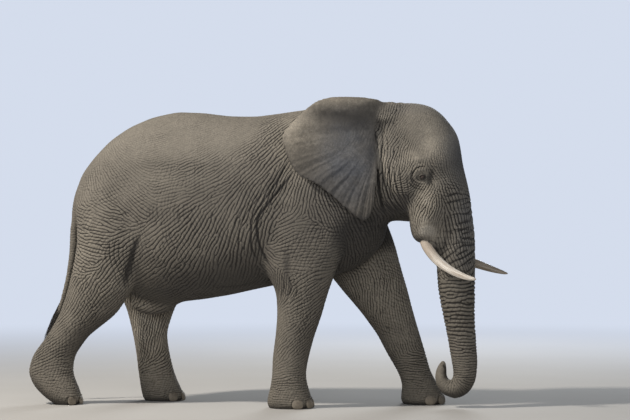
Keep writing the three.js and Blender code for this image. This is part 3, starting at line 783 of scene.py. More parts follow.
def combed(points, normals, parts):
    """The way the wrinkles run at each point, their spacing and depths, in metres."""
    total = np.zeros((len(points), 5))
    for name, rows in COMB.items():
        weight = parts[name]
        here = np.flatnonzero(weight > 0.01)
        low, high = box_of(name)
        rows = np.array(rows, float)
        place = low[[0, 2]] + rows[:, :2] * (high - low)[[0, 2]]
        apart = ((points[here][:, None, [0, 2]] - place) ** 2).sum(2)
        share = 1 / (apart + COMB_BLEND) ** 2
        share *= (weight[here] / share.sum(1))[:, None]
        twice = np.radians(2 * rows[:, 2])
        facts = np.column_stack([np.cos(twice), np.sin(twice), rows[:, 3:] / 1000])
        total[here] += share @ facts
    angle = np.arctan2(total[:, 1], total[:, 0]) / 2
    upward = unit(UP - normals * normals[:, 2:])
    forward = unit(np.cross(upward, normals)) * np.where(normals[:, 1:2] < 0, 1, -1)
    flow = forward * np.cos(angle)[:, None] + upward * np.sin(angle)[:, None]
    return flow, CLOSER * total[:, 2], total[:, 3], total[:, 4]


TRUNK_CURL = {"ahead": 0.03, "up": 0.23}  # its middle, from the low front edge of the tip


def round_trunk(points, normals, parts, flow):
    """Turns the wrinkles of the lower trunk into rings, which follow it round its curl."""
    low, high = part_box("trunk_tip")
    middle = np.array([high.x + TRUNK_CURL["ahead"], 0, low.z + TRUNK_CURL["up"]])
    out = unit((points - middle) * [1, 0, 1])
    around = np.cross(out, [0, 1, 0])
    axis = np.where(points[:, 2:] > middle[2], UP, around)
    rings = unit(np.cross(normals, axis))
    lower = ("trunk_middle", "trunk_lower", "trunk_tip")
    weight = np.clip(2 * sum(parts[name] for name in lower) - 0.5, 0, 1)[:, None]
    rings = rings * np.where((rings * flow).sum(1, keepdims=True) < 0, -1, 1)
    return unit(flow * (1 - weight) + rings * weight)


class Furrows:
    """Wrinkles that follow a flow: waves from many scattered seeds, each a short stretch of
    furrows across its own flow, which are summed and then nudged into step."""

    REACH = 2.0  # of a seed's wave, in spacings
    OVERLAP = 9  # seeds that reach each point
    FADING = 3.5  # of a wave, towards its reach

    def __init__(self, base, normals, flow, spacing, seed, steps, uneven=0.3, stray=10):
        rng = np.random.default_rng(seed)
        ends = base.points[base.edges]
        length = np.linalg.norm(ends[:, 0] - ends[:, 1], axis=1)
        sums = np.bincount(base.edges.ravel(), np.repeat(length, 2), len(base.points))
        area = (sums / base.links) ** 2
        wanted = self.OVERLAP * area / (np.pi * (self.REACH * spacing) ** 2)
        chosen = np.flatnonzero(rng.random(len(area)) < wanted)
        self.points = base.points[chosen]
        self.normals = normals[chosen]
        along = flow[chosen]
        across = unit(np.cross(self.normals, along))
        turn = np.radians(rng.normal(0, stray, len(chosen)))[:, None]
        across = across * np.cos(turn) + along * np.sin(turn)
        self.reach = self.REACH * spacing[chosen]
        vary = rng.uniform(1 - uneven, 1 + uneven, len(chosen))
        self.wave = across * (2 * np.pi / (spacing[chosen] * vary))[:, None]
        self.phase = rng.uniform(0, 2 * np.pi, len(chosen))
        self.cell = self.reach.max()
        self.homes = dict(self.cells(self.points))
        for _ in range(steps):
            self.phase = self.at(self.points, self.normals)

    def cells(self, points):
        """Points in groups, cell by cell of a grid, each with the three numbers of its cell."""
        keys = np.floor(points / self.cell).astype(int)
        order = np.lexsort(keys.T)
        bounds = np.flatnonzero(np.any(np.diff(keys[order], axis=0), 1)) + 1
        return [(tuple(keys[group[0]]), group) for group in np.split(order, bounds)]

    def at(self, points, normals):
        """The phase of the furrows at some points."""
        result = np.zeros(len(points), complex)
        steps = [(i, j, k) for i in (-1, 0, 1) for j in (-1, 0, 1) for k in (-1, 0, 1)]
        for home, group in self.cells(points):
            near = [self.homes.get((home[0] + i, home[1] + j, home[2] + k)) for i, j, k in steps]
            near = [seeds for seeds in near if seeds is not None]
            if not near:
                continue
            seeds = np.concatenate(near)
            centre = self.points[seeds]
            middle = (np.array(home) + 0.5) * self.cell
            here, there = points[group] - middle, centre - middle
            far = (here**2).sum(1)[:, None] + (there**2).sum(1) - 2 * here @ there.T
            nearby = far / self.reach[seeds] ** 2
            facing = np.clip(normals[group] @ self.normals[seeds].T, 0, 1)
            weight = np.where(nearby < 1, np.exp(-self.FADING * nearby) * facing**2, 0)
            wave = self.wave[seeds]
            turn = here @ wave.T - (there * wave).sum(1) + self.phase[seeds]
            result[group] = (weight * np.cos(turn)).sum(1) + 1j * (weight * np.sin(turn)).sum(1)
        return np.angle(result)


def grooves(phase, sharpness):
    """1 in the bottom of each furrow, 0 on the rounded ridges between."""
    return (1 - np.abs(np.sin(phase / 2))) ** sharpness


TABLE_SIZE = 4099
CELL_KEYS = np.array([73856093, 19349663, 83492791])  # large primes, which spread the cells


def patches(points, size, seed):
    """Smooth random values from 0 to 1, which change over about that size, in metres."""
    table = np.random.default_rng(seed).random(TABLE_SIZE)
    cell = np.floor(points / size).astype(np.int64)
    within = eased(points / size - cell)
    total = np.zeros(len(points))
    for corner in np.ndindex(2, 2, 2):
        key = (cell + corner) @ CELL_KEYS
        share = np.where(corner, within, 1 - within).prod(1)
        total += share * table[key % len(table)]
    return total


def rugged(points, size, seed):
    """Patches of that size with smaller ones in them."""
    coarse, fine = patches(points, size, seed), patches(points, size / 2.7, seed + 1)
    return 0.65 * coarse + 0.35 * fine


# Folds that every bull of this build has, drawn on the side of a part as a width and a depth in
# millimetres and a path in its box, along and up. Those of head and trunk turn with the head.
FOLDS = [
    ("torso", 14, 15, [(0.74, 0.7), (0.7, 0.62), (0.66, 0.54), (0.63, 0.47), (0.63, 0.39),
                       (0.64, 0.32), (0.67, 0.23)]),
    ("torso", 11, 12, [(0.72, 0.76), (0.69, 0.66), (0.65, 0.56), (0.62, 0.49), (0.61, 0.41),
                       (0.61, 0.33), (0.63, 0.26)]),
    ("torso", 10, 9, [(0.7, 0.75), (0.67, 0.64), (0.61, 0.53), (0.58, 0.45), (0.57, 0.37),
                      (0.57, 0.29)]),
    ("torso", 10, 7, [(0.66, 0.63), (0.58, 0.51), (0.55, 0.41), (0.53, 0.31)]),
    ("torso_right", 30, 14, [(0.25, 0.4), (0.23, 0.33), (0.21, 0.24), (0.19, 0.13)]),
    ("torso", 14, 8, [(0.45, 0.14), (0.55, 0.15), (0.64, 0.18)]),
    ("leg_fore_right", 9, 9, [(0.22, 0.5), (0.28, 0.42), (0.21, 0.34)]),
    ("leg_fore_right", 9, 10, [(0.31, 0.49), (0.37, 0.41), (0.26, 0.32)]),
    ("leg_fore_right", 9, 8, [(0.4, 0.46), (0.44, 0.39), (0.32, 0.32)]),
    ("head", 9, 15, [(0.09, 0.59), (0.1, 0.47), (0.12, 0.36), (0.19, 0.26), (0.29, 0.2)]),
    ("head", 9, 14, [(0.14, 0.6), (0.15, 0.47), (0.19, 0.36), (0.25, 0.26), (0.33, 0.21)]),
    ("head", 8, 13, [(0.21, 0.6), (0.22, 0.49), (0.24, 0.37), (0.29, 0.28), (0.35, 0.23)]),
    ("head", 8, 12, [(0.27, 0.57), (0.28, 0.46), (0.31, 0.36), (0.34, 0.28)]),
    ("head", 8, 10, [(0.33, 0.54), (0.34, 0.45), (0.36, 0.35), (0.38, 0.25)]),
    ("head", 7, 8, [(0.39, 0.5), (0.41, 0.42), (0.42, 0.33)]),
    ("head", 10, 6, [(0.77, 0.2), (0.78, 0.12), (0.77, 0.01), (0.74, -0.07)]),
    ("trunk_upper", 7, 11, [(0.48, 0.71), (0.7, 0.74), (1.0, 0.73)]),
    ("trunk_upper", 7, 11, [(0.48, 0.53), (0.74, 0.56), (1.02, 0.54)]),
    ("trunk_upper", 7, 9, [(0.46, 0.35), (0.74, 0.4), (1.04, 0.39)]),
    ("trunk_upper", 6, 6, [(0.64, 0.88), (0.8, 0.89), (0.98, 0.87)]),
    ("head", 7, 8, [(0.49, 0.03), (0.57, 0.01), (0.65, 0.01), (0.72, -0.04)]),
    ("head", 15, 34, [(-0.11, 0.89), (-0.03, 0.87), (0.04, 0.8), (0.07, 0.69), (0.08, 0.57),
                      (0.1, 0.43), (0.12, 0.29), (0.15, 0.2)]),
    ("head", 8, 12, [(0.12, 0.82), (0.135, 0.72), (0.13, 0.62), (0.14, 0.5)]),
    ("head", 7, 9, [(0.17, 0.77), (0.19, 0.69), (0.18, 0.6)]),
]
HALF_FACE = 0.40
HEAD_FOLDS_OUTSIDE = 0.22  # of the middle plane, so that none runs over the top of the neck


def drawing_board(node, points):
    """Points as along and up, in metres, on the board that a part's side is drawn on."""
    if node not in ("head", "trunk_upper"):
        return points[:, [0, 2]]
    along = points[:, 0] * np.cos(HEAD_TURN) - points[:, 1] * np.sin(HEAD_TURN)
    return np.column_stack([along, points[:, 2]])


def on_board(node, places):
    """Places in a part's box, as metres on that board."""
    low, high = box_of(node)
    drawn = low + np.insert(np.array(places, float), 1, 0.0, 1) * (high - low)
    drawn[:, 1] = -HALF_FACE
    return drawing_board(node, drawn)


def folded(points, parts):
    """How deep the drawn folds sink each point, less the rolls that they push up beside them."""
    total = np.zeros(len(points))
    off_ears = 1 - np.clip(2 * (parts["ear_right"] + parts["ear_left"]), 0, 1)
    for node, width, depth, path in FOLDS:
        width, depth = width / 1000, depth / 1000
        knots = on_board(node, path)
        steps = np.linspace(0, len(path) - 1, 16 * len(path))
        curve = through(knots, np.arange(float(len(path))), steps)
        board = drawing_board(node, points)
        low, high = curve.min(0) - 4 * width, curve.max(0) + 4 * width
        near = np.all((board > low) & (board < high), 1)
        if node.endswith("right"):
            near &= points[:, 1] < 0
        if node == "head":
            near &= np.abs(points[:, 1]) > HEAD_FOLDS_OUTSIDE
        here = np.flatnonzero(near)
        apart = np.linalg.norm(board[here][:, None] - curve, axis=2)
        nearest = apart.argmin(1)
        apart = apart.min(1) / width
        fading = np.clip(np.minimum(steps[nearest], len(path) - 1 - steps[nearest]) / 0.7, 0.1, 1)
        shape = np.exp(-(apart**2)) - 0.3 * np.exp(-((apart - 1.9) ** 2))
        total[here] += depth * shape * fading * off_ears[here]
    return total


# The forms of the skull under the skin, in the box of the head: along, up, half length, half
# height in metres and the rise in millimetres.
HEAD_FORMS = [
    (0.62, 0.72, 0.12, 0.16, -26),
    (0.84, 0.80, 0.07, 0.20, 10),
    (0.76, 0.58, 0.08, 0.08, 8),
    (0.52, 0.595, 0.10, 0.035, 16),
    (0.38, 0.36, 0.10, 0.07, 10),
    (0.64, 0.38, 0.08, 0.09, 8),
    (0.28, 0.76, 0.10, 0.12, 8),
    (0.60, 0.20, 0.09, 0.10, 6),
]
# The hip bone and the hollows round it, in the box of the torso, in the same way.
BODY_FORMS = [
    (0.15, 0.72, 0.16, 0.26, 20),
    (0.30, 0.70, 0.24, 0.20, -24),
    (0.30, 0.45, 0.16, 0.20, -14),
    (0.48, 0.62, 0.30, 0.26, 10),
]
FLANK = 0.2  # half the width of the back, over which the forms of the body fade in


def away_from(points, node, along, up, long, high):
    """How far out of an oval on a part's side each point is, squared, 1 on its edge."""
    apart = drawing_board(node, points) - on_board(node, [(along, up)])
    return ((apart / [long, high]) ** 2).sum(1)


def raised(points, node, rows):
    """How far the forms in those rows lift each point, in metres."""
    rise = np.zeros(len(points))
    for *oval, millimetres in rows:
        rise += millimetres / 1000 * np.exp(-away_from(points, node, *oval))
    return rise


def body_forms(points):
    on_flank = np.clip((np.abs(points[:, 1]) - FLANK) / FLANK, 0, 1)
    return raised(points, "torso", BODY_FORMS) * on_flank


def head_forms(points, parts):
    on_head = np.clip(parts["head"] + parts["trunk_upper"], 0, 1)
    return raised(points, "head", HEAD_FORMS) * on_head


def on_ears(points, parts):
    """For points of the ears: how far out from root to rim, and how far round the rim, 0 to 1."""
    out, around = np.zeros(len(points)), np.zeros(len(points))
    for name in EARS:
        here = np.flatnonzero(parts[name] > 0.02)
        tree = tree_of(ear_sheet(name)[0].reshape(-1, 3))
        nearest = np.array([tree.find(point)[1] for point in points[here]], int)
        around[here] = nearest // EAR_ACROSS / (EAR_SPOKES - 1)
        out[here] = nearest % EAR_ACROSS / (EAR_ACROSS - 1)
    return out, around


# Each ear is thin and droops from a thick root, with ribs of gristle that fan out to its rim. Its
# dish, as rows like those of the head: the top rolls outwards over a hollow, and the front lies
# flatter.
EAR_FORMS = [
    (0.44, 0.83, 0.24, 0.07, -52),
    (0.50, 0.97, 0.40, 0.05, 22),
    (0.16, 0.70, 0.08, 0.20, 12),
    (0.62, 0.55, 0.14, 0.22, -14),
    (0.80, 0.40, 0.05, 0.30, 8),
]
RIB_COUNT, RIB_HEIGHT = 34, 0.0055
EAR_ROOT_TOP = (0.18, 0.96, 0.17, 0.095)  # an oval in the box of the head
ROOT_BLEND = 160


def melted_root(hide):
    """Lets the front of each ear's upper edge run into the crown without a groove."""
    start = hide.points
    soft = hide.spread(start, ROOT_BLEND)
    off_middle = np.abs(start[:, 1]) > FLANK
    weight = np.exp(-(away_from(start, "head", *EAR_ROOT_TOP) ** 2)) * off_middle
    hide.points = start + (soft - start) * weight[:, None]


def dished(points, out, around, on_ear):
    """Moves both faces of each ear together, into its dish and its fan of ribs."""
    shift = raised(points, "ear_right", EAR_FORMS)
    fan = np.clip((out - 0.3) / 0.4, 0, 1) * np.clip((around - 0.30) / 0.25, 0.12, 1)
    fan *= np.clip((0.92 - around) / 0.12, 0, 1) * (0.3 + rugged(points, 0.18, 6))
    bent = around + 0.012 * (patches(points, 0.25, 7) - 0.5)
    shift += RIB_HEIGHT * rippled(bent, RIB_COUNT, 5) * fan
    points[:, 1] += np.sign(points[:, 1]) * shift * on_ear
    return points


def rippled(values, count, seed):
    """A random wave with about that many crests between 0 and 1."""
    rng = np.random.default_rng(seed)
    total = np.zeros_like(values)
    for rate in (0.37, 0.71, 1.0, 1.6):
        total += np.sin(2 * np.pi * rate * count * values + rng.uniform(0, 6.28)) / (1 + rate)
    return total


# Lids: an eye lies in an almond-shaped slit between two thick lids, ringed by folds. All of this
# is in metres: how far the skin round an eye is worked, where a lid leaves the ball and where it
# is one with the face, the rolled margin of the lids, and how deep the slit opens on the ball.
EYE_BALL = 0.024
LID = 0.005
SLIT = {"half": 0.030, "above": 0.0190, "below": 0.0150, "deep": 0.006}
LID_REACH = {"skin": 0.10, "behind": -0.05, "leaves_ball": 0.026, "joins_face": 0.084}
LID_EDGE = {"high": 0.003, "wide": 0.0035, "dark": 0.011, "reach": 0.04, "dark_reach": 0.05}


class Socket:
    """The place of one eye, with its own axes: along the slit, up, and out of the head."""

    def __init__(self, name):
        self.name = name
        self.centre = sum(box_of(name)) / 2
        forward = np.array([np.cos(HEAD_TURN), -np.sin(HEAD_TURN), 0.0])
        sideways = np.array([np.sin(HEAD_TURN), np.cos(HEAD_TURN), 0.0]) * np.sign(self.centre[1])
        self.out = unit(sideways + 0.22 * forward - 0.10 * UP)
        self.up = unit(UP - self.out * (UP @ self.out) + 0.10 * forward)
        self.along = unit(forward - self.out * (forward @ self.out) - self.up * (forward @ self.up))

    def axes(self, points):
        local = points - self.centre
        return local @ self.along, local @ self.up, local @ self.out

    def place(self, along, up, out):
        """The reverse of axes: a place in the frame."""
        axes = np.stack([self.along, self.up, self.out])
        return self.centre + np.stack([along, up, out], -1) @ axes


def slit_height(along, up):
    """How far inside the almond of the slit a place is, in metres. Negative on the lids."""
    most = np.where(up > 0, SLIT["above"], SLIT["below"])
    return most * (1 - np.clip(np.abs(along) / SLIT["half"], 0, 2) ** 2) - np.abs(up)


def lids(points, sockets):
    """Moves the skin round the eyes into lids that lie on the balls and a slit between them, and
    tells how near each point is to the margins of the lids."""
    margin = np.zeros(len(points))
    for socket in sockets:
        along, up, out = socket.axes(points)
        far = np.hypot(along, up)
        here = np.flatnonzero((far < LID_REACH["skin"]) & (out > LID_REACH["behind"]))
        along, up, out, far = along[here], up[here], out[here], far[here]
        inside = slit_height(along, up)
        ball = np.sqrt(np.clip(EYE_BALL**2 - far**2, 0, None))
        dome = np.sqrt(np.clip((EYE_BALL + LID) ** 2 - (far * 0.82) ** 2, 0, None))
        leaves, joins = LID_REACH["leaves_ball"], LID_REACH["joins_face"]
        settled = eased((far - leaves) / (joins - leaves))
        lid = dome * (1 - settled) + out * settled
        edge = LID_EDGE["high"] * np.exp(-((inside / LID_EDGE["wide"] + 1) ** 2))
        lid = lid + edge * (far < LID_EDGE["reach"])
        target = np.where(inside > 0, ball - SLIT["deep"], lid)
        points[here] += (target - out)[:, None] * socket.out
        dark = np.clip(1 + inside / LID_EDGE["dark"], 0, 1)
        margin[here] = dark * (far < LID_EDGE["dark_reach"])
    return points, margin


# Ring folds round an eye, in metres: half length, height above and below, width, depth above and
# below.
EYE_RINGS = [
    (0.041, 0.027, 0.024, 0.0050, 0.006, 0.003),
    (0.058, 0.050, 0.047, 0.0055, 0.000, 0.008),
    (0.108, 0.108, 0.078, 0.0080, 0.012, 0.009),
    (0.122, 0.150, 0.108, 0.0070, 0.003, 0.007),
    (0.150, 0.170, 0.136, 0.0070, 0.000, 0.007),
]
# Forms round an eye: along, up, half length, half height in metres, and the rise in millimetres.
EYE_FORMS = [
    (-0.020, 0.064, 0.060, 0.034, 15),
    (0.085, 0.010, 0.036, 0.085, -10),
    (0.000, -0.020, 0.060, 0.030, -6),
    (-0.020, -0.066, 0.060, 0.016, 6),
]


def around_eyes(points, sockets):
    """The depth of the ring folds round the eyes, how near each point is to an eye, and how
    deep it lies in the shade of the lids."""
    depth, near, shaded = np.zeros((3, len(points)))
    for socket in sockets:
        along, up, out = socket.axes(points)
        here = np.abs(out) < LID_REACH["skin"]
        far = np.hypot(along, up)
        top = eased(0.5 + up / 0.05)
        behind = np.clip(0.70 - along / 0.10, 0.05, 1.2)
        for half_long, above, below, width, deep_above, deep_below in EYE_RINGS:
            half_high = below + (above - below) * top
            deep = deep_below + (deep_above - deep_below) * top
            apart = (np.hypot(along / half_long, up / half_high) - 1) * half_high / width
            uneven = (0.6 + 0.8 * patches(points, 0.05, 9)) * behind
            depth += deep * np.exp(-(apart**2)) * here * np.clip(uneven, 0.1, 1.5)
        for ahead, over, long, high, rise in EYE_FORMS:
            apart = ((along - ahead) / long) ** 2 + ((up - over) / high) ** 2
            depth -= rise / 1000 * np.exp(-apart) * here * np.clip((far - 0.025) / 0.03, 0, 1)
        near = np.maximum(near, np.exp(-((far / 0.085) ** 4)) * here)
        # A dark patch round the slit: painted shade under the lids, and the tear-stained skin there.
        stain = ((along - 0.006) / 0.033) ** 2 + ((up + 0.006) / 0.030) ** 2
        shaded += 1.6 * np.exp(-(stain**1.5)) * here
    return depth, near, shaded


# The two nostrils open side by side in the end of the trunk: their places in the box of the tip.
NOSTRILS = [(0.56, 0.34, 0.87), (0.56, 0.66, 0.87)]
NOSTRIL_HALF, NOSTRIL_DEEP = (0.045, 0.020, 0.036), 0.020


def nostrils(points):
    """How much each point lies in a nostril, 0 to 1."""
    low, high = box_of("trunk_tip")
    total = np.zeros(len(points))
    for place in NOSTRILS:
        apart = (points - (low + place * (high - low))) / NOSTRIL_HALF
        total += np.exp(-((apart**2).sum(1) ** 2))
    return total


# Each toenail lies in a bed of its own in the front of a foot. A nail is this much bigger than
# its solid: across, up and out. The skin rolls up round it, by a height at a place and a width.
NAIL_FLATNESS = 0.50
NAIL_GROWTH = (1.5, 1.4, 0.80)
NAIL_SQUARENESS = 2.8
NAIL_REACH = {"across": 0.11, "up": 0.10, "out": 0.08}
NAIL_ROLL = {"high": 0.009, "place": 1.17, "wide": 0.13}
NAIL_SUNK = 0.008


def out_of_square(across, up):
    """How far out of a rounded square a place is, 1 on its edge."""
    both = np.abs(across) ** NAIL_SQUARENESS + np.abs(up) ** NAIL_SQUARENESS
    return both ** (1 / NAIL_SQUARENESS)


class NailBed:
    """The place and axes of a nail: across it, up, and out of the foot."""

    def __init__(self, name):
        low, high = box_of(name)
        self.centre = (low + high) / 2
        foot = name.replace("nail", "foot").rpartition("_")[0]
        self.out = unit((self.centre - sum(box_of(foot)) / 2) * [1, 1, 0])
        self.matrix = np.stack([np.cross(UP, self.out), UP, self.out])
        half = (high - low) / 2
        wide = np.sqrt((half[0] ** 2 + half[1] ** 2) / (1 + NAIL_FLATNESS**2))
        self.size = np.array([wide, half[2], wide * NAIL_FLATNESS]) * NAIL_GROWTH

    def axes(self, points):
        return ((points - self.centre) @ self.matrix.T).T

    def plate(self, across, up):
        """How far the nail reaches to the edge of its outline at a place, and how far out."""
        wide, high, thick = self.size
        reach = out_of_square(across / wide, up / high)
        return reach, thick * (1 - np.clip(reach, 0, 1) ** 2.4) ** 0.6


def bedded(points, normals):
    """Sinks the skin under each nail and rolls it up round the nail's sides and top."""
    for bed in map(NailBed, NAILS):
        across, up, out = bed.axes(points)
        near = (np.abs(across) < NAIL_REACH["across"]) & (np.abs(up) < NAIL_REACH["up"])
        near &= np.abs(out) < NAIL_REACH["out"]
        here = np.flatnonzero(near & (normals @ bed.out > 0))
        across, up, out = across[here], up[here], out[here]
        reach, front = bed.plate(across, up)
        sunk = np.minimum(out, front - NAIL_SUNK)
        roll = np.exp(-(((reach - NAIL_ROLL["place"]) / NAIL_ROLL["wide"]) ** 2))
        roll *= NAIL_ROLL["high"] * np.clip(1.2 + up / 0.03, 0, 1)
        target = np.where(reach < 0.97, sunk, out + roll)
        points[here] += (target - out)[:, None] * bed.out
    return points


SOLE = {"rounding": 0.022, "drawn_down": 1.5, "level": 0.001}


def flattened_soles(points):
    """Draws the rounded soles down and cuts them off at one level, as the floor does."""
    top = SOLE["rounding"]
    low = points[:, 2] < top
    points[low, 2] = top - (top - points[low, 2]) * SOLE["drawn_down"]
    points[:, 2] = np.maximum(points[:, 2], SOLE["level"])
    return points


def crossing(normals, flow, lean):
    """A flow that runs across another, turned that many degrees past the square."""
    lean = np.radians(lean)[:, None]
    return unit(np.cross(normals, flow) * np.cos(lean) + flow * np.sin(lean))


# Where the hide lies tight over bone, with hardly a wrinkle.
SMOOTH = [
    ("head", 0.62, 0.74, 0.11, 0.17, 1.0),
    ("head", 0.52, 0.62, 0.10, 0.08, 0.8),
    ("head", 0.88, 0.78, 0.14, 0.24, 0.9),
    ("head", 0.62, 0.98, 0.30, 0.08, 0.6),
    ("head", 0.62, 0.10, 0.10, 0.12, 0.5),
]


def spots(rows, points):
    """How strongly the spots in those rows cover each point."""
    total = np.zeros(len(points))
    for node, *oval, strength in rows:
        total = np.maximum(total, strength * np.exp(-away_from(points, node, *oval)))
    return total


EAR_THINNED = 0.006  # off each face of an ear, away from its root
RIDGE = 0.0015  # by which the ridges between the wrinkles stand up
LIVELY = 1.85  # how strong the wrinkles are, against the depths in COMB
FINER_ROUND_EYES = (0.42, 0.13, 0.07)

sockets = [Socket("eye_right"), Socket("eye_left")]
base = whole_body()
base.store()
for reach in FINER_ROUND_EYES:
    refine(base.mesh, [Vector(socket.centre) for socket in sockets], reach)
unwrapped = unwrap(base.mesh)
base = Hide(base.mesh)
base.points = base.spread(base.points, 1)
parts = parts_of(base)
rise = head_forms(base.points, parts) + body_forms(base.points)
base.points = base.points + base.normals() * rise[:, None]
melted_root(base)
base_normals = unit(base.spread(base.normals(), 4))
flow, spacing, depth, cross_depth = combed(base.points, base_normals, parts)
flow = round_trunk(base.points, base_normals, parts, flow)
finer = Finer(base)
mesh = finer.mesh
fine_parts = {name: finer.of(parts[name]) for name in (*EARS, "head", "trunk_upper")}
out_on_ear, round_ear = on_ears(base.points, parts)
out_on_ear, round_ear = finer.of(out_on_ear), finer.of(round_ear)
fine_normals = read(mesh.vertex_normals, "vector", 3).astype(float)
where = finer.points
main = Furrows(base, base_normals, flow, spacing, 11, 5, uneven=0.2, stray=5)
main_phase = main.at(where, fine_normals)
main_groove = grooves(main_phase, 1.5)
deep = Furrows(base, base_normals, flow, spacing * 2.7, 13, 4, stray=6)
deep_groove = grooves(deep.at(where, fine_normals), 4.0)
on_trunk = np.clip(1.3 * parts["trunk_upper"], 0, 1)
across_flow = crossing(base_normals, flow, 28 - 26 * on_trunk)
cross = Furrows(base, base_normals, across_flow, spacing * (1.15 + 0.75 * on_trunk), 12, 4, stray=5)
cross_phase = cross.at(where, fine_normals)
cross_groove = grooves(cross_phase, 1.6)
depth, cross_depth = finer.of(depth), finer.of(cross_depth)
broad, close = patches(where, 0.26, 21), patches(where, 0.09, 22)
lively = LIVELY * (0.55 + 0.9 * broad) * (0.65 + 0.7 * close)
patchy = LIVELY * np.clip(2.0 * rugged(where, 0.16, 23) - 0.3, 0.15, 1.5)
ring_folds, near_eye, eye_shade = around_eyes(where, sockets)
smooth_face = np.clip(1.25 * spots(SMOOTH, where), 0, 1)
calm = (1 - 0.8 * near_eye) * (1 - 0.85 * smooth_face)
wrinkles = depth * lively * main_groove + cross_depth * patchy * cross_groove
wrinkles += depth * 0.8 * np.clip(2 * patches(where, 0.2, 24) - 0.4, 0, 1.4) * deep_groove
folds = folded(where, fine_parts)
on_ear = np.clip(fine_parts["ear_right"] + fine_parts["ear_left"], 0, 1)
thinned = EAR_THINNED * on_ear * np.clip(out_on_ear * 1.6, 0, 1)
nostril = nostrils(where)
sunk = wrinkles * calm + folds + ring_folds + thinned + NOSTRIL_DEEP * nostril
points = where - fine_normals * (sunk - RIDGE)[:, None]
points = dished(points, out_on_ear, round_ear, on_ear)
points, lid_margin = lids(points, sockets)
points = flattened_soles(bedded(points, fine_normals))
mesh.vertices.foreach_set("co", points.ravel().astype(np.float32))
mesh.update()


def keep(mesh, name, values):
    """Keeps one value of every point of a mesh for its material."""
    made = mesh.attributes.new(name, "FLOAT", "POINT")
    made.data.foreach_set("value", np.ravel(values).astype(np.float32))


def keep_three(mesh, name, values):
    """Keeps three values of every point of a mesh for its material."""
    made = mesh.attributes.new(name, "FLOAT_VECTOR", "POINT")
    made.data.foreach_set("vector", np.ravel(values).astype(np.float32))


# Creases, folds and the lines of the furrows are darkened with painted shade, fully at these depths.
DARK_FROM = 0.009  # the depth of a fold that is wholly dark
LINED_FROM = 0.008  # the depth of a wrinkle with a full line in it

drawn = np.clip(folds + ring_folds, 0, None)
keep(mesh, "crease", (wrinkles * calm * 0.8 + drawn * 0.75) / DARK_FROM)
for name, strength, phase in (
    ("furrow", depth * lively, main_phase),
    ("cross", cross_depth * patchy, cross_phase),
):
    keep(mesh, name, strength * calm * (1 - on_ear) / LINED_FROM)
    keep(mesh, name + "_sine", np.sin(phase))
    keep(mesh, name + "_cosine", np.cos(phase))
keep(mesh, "ear", on_ear)
uv = mesh.uv_layers.new(name="OFBake")
uv.data.foreach_set("uv", finer.of_corners(unwrapped).ravel().astype(np.float32))
skin = bpy.data.objects.new("skin", mesh)
bpy.context.scene.collection.objects.link(skin)

# Where the hide is cool grey, with painted shade in that cool tone on the front of the forehead
# and trunk; where it is bare and tan, with painted light in that tan on the temple, the tusk
# sheath, the top rim of the ear and the far legs; where painted shade darkens it, under the ears,
# on the throat and forehead, in the curl of the trunk, in the dip under the ear's top roll and
# over the flank and shoulder; and where the temple gland has stained it: spots on the side of a
# part, with their half sizes in metres and how strong each is.
# Cool grey of the hide; on the front of the forehead and of the trunk, which face away from the lamp,
# it is painted shade.
COOL_AND_PAINTED_SHADE = [
    ("ear_right", 0.62, 0.48, 0.33, 0.46, 1.0),
    ("head", 0.91, 0.68, 0.13, 0.44, 1.0),
    ("trunk_upper", 0.85, 0.60, 0.12, 0.50, 0.8),
    ("head", 0.45, 0.97, 0.30, 0.07, 0.5),
]
# Tan of bare hide; on the temple, the tusk sheath, the ear's top rim and the shaded far legs it is
# painted light.
TAN_AND_PAINTED_LIGHT = [
    ("head", 0.60, 0.72, 0.09, 0.20, 0.85),
    ("head", 0.42, 0.60, 0.14, 0.10, 0.7),
    ("head", 0.60, 0.38, 0.12, 0.10, 0.8),
    ("head", 0.60, 0.08, 0.13, 0.10, 1.8),
    ("head", 0.57, 0.17, 0.13, 0.13, 1.2),
    ("head", 0.60, 0.30, 0.13, 0.18, 1.1),
    ("head", 0.22, 0.42, 0.12, 0.24, 0.9),
    ("head", 0.15, 0.58, 0.06, 0.36, 0.9),
    ("ear_right", 0.10, 0.72, 0.24, 0.30, 0.9),
    ("ear_right", 0.45, 0.98, 0.48, 0.08, 0.8),
    ("leg_hind_right", 0.60, 0.55, 0.26, 0.50, 0.6),
    ("leg_hind_left", 0.60, 0.25, 0.40, 0.55, 1.5),
    ("leg_fore_left", 0.60, 0.35, 0.50, 0.50, 0.6),
]
# Painted shade: the throat under the ear, the front of the forehead that faces away from the lamp,
# the inside of the trunk's curl, the dip under the ear's top roll, the flank and the shoulder.
PAINTED_SHADE_SPOTS = [
    ("head", -0.02, 0.06, 0.30, 0.20, 1.5),
    ("head", 0.93, 0.62, 0.13, 0.46, 0.85),
    ("neck", 0.45, 0.03, 0.20, 0.12, 0.8),
    ("head", 0.28, 0.13, 0.12, 0.06, 0.8),
    ("trunk_tip", 0.82, 0.62, 0.05, 0.09, 1.0),
    ("torso", 0.72, 0.26, 0.05, 0.20, 0.6),
    ("torso", 0.50, 0.70, 1.20, 0.55, 0.75),
    ("leg_fore_right", 0.55, 0.75, 0.45, 0.50, 0.55),
    ("ear_right", 0.52, 0.82, 0.26, 0.06, 0.75),
]
STAIN = [
    ("head", 0.38, 0.68, 0.09, 0.07, 1.0),
    ("head", 0.54, 0.72, 0.06, 0.16, 0.7),
    ("head", 0.45, 0.86, 0.14, 0.08, 0.8),
    ("head", 0.30, 0.36, 0.10, 0.14, 0.4),
]

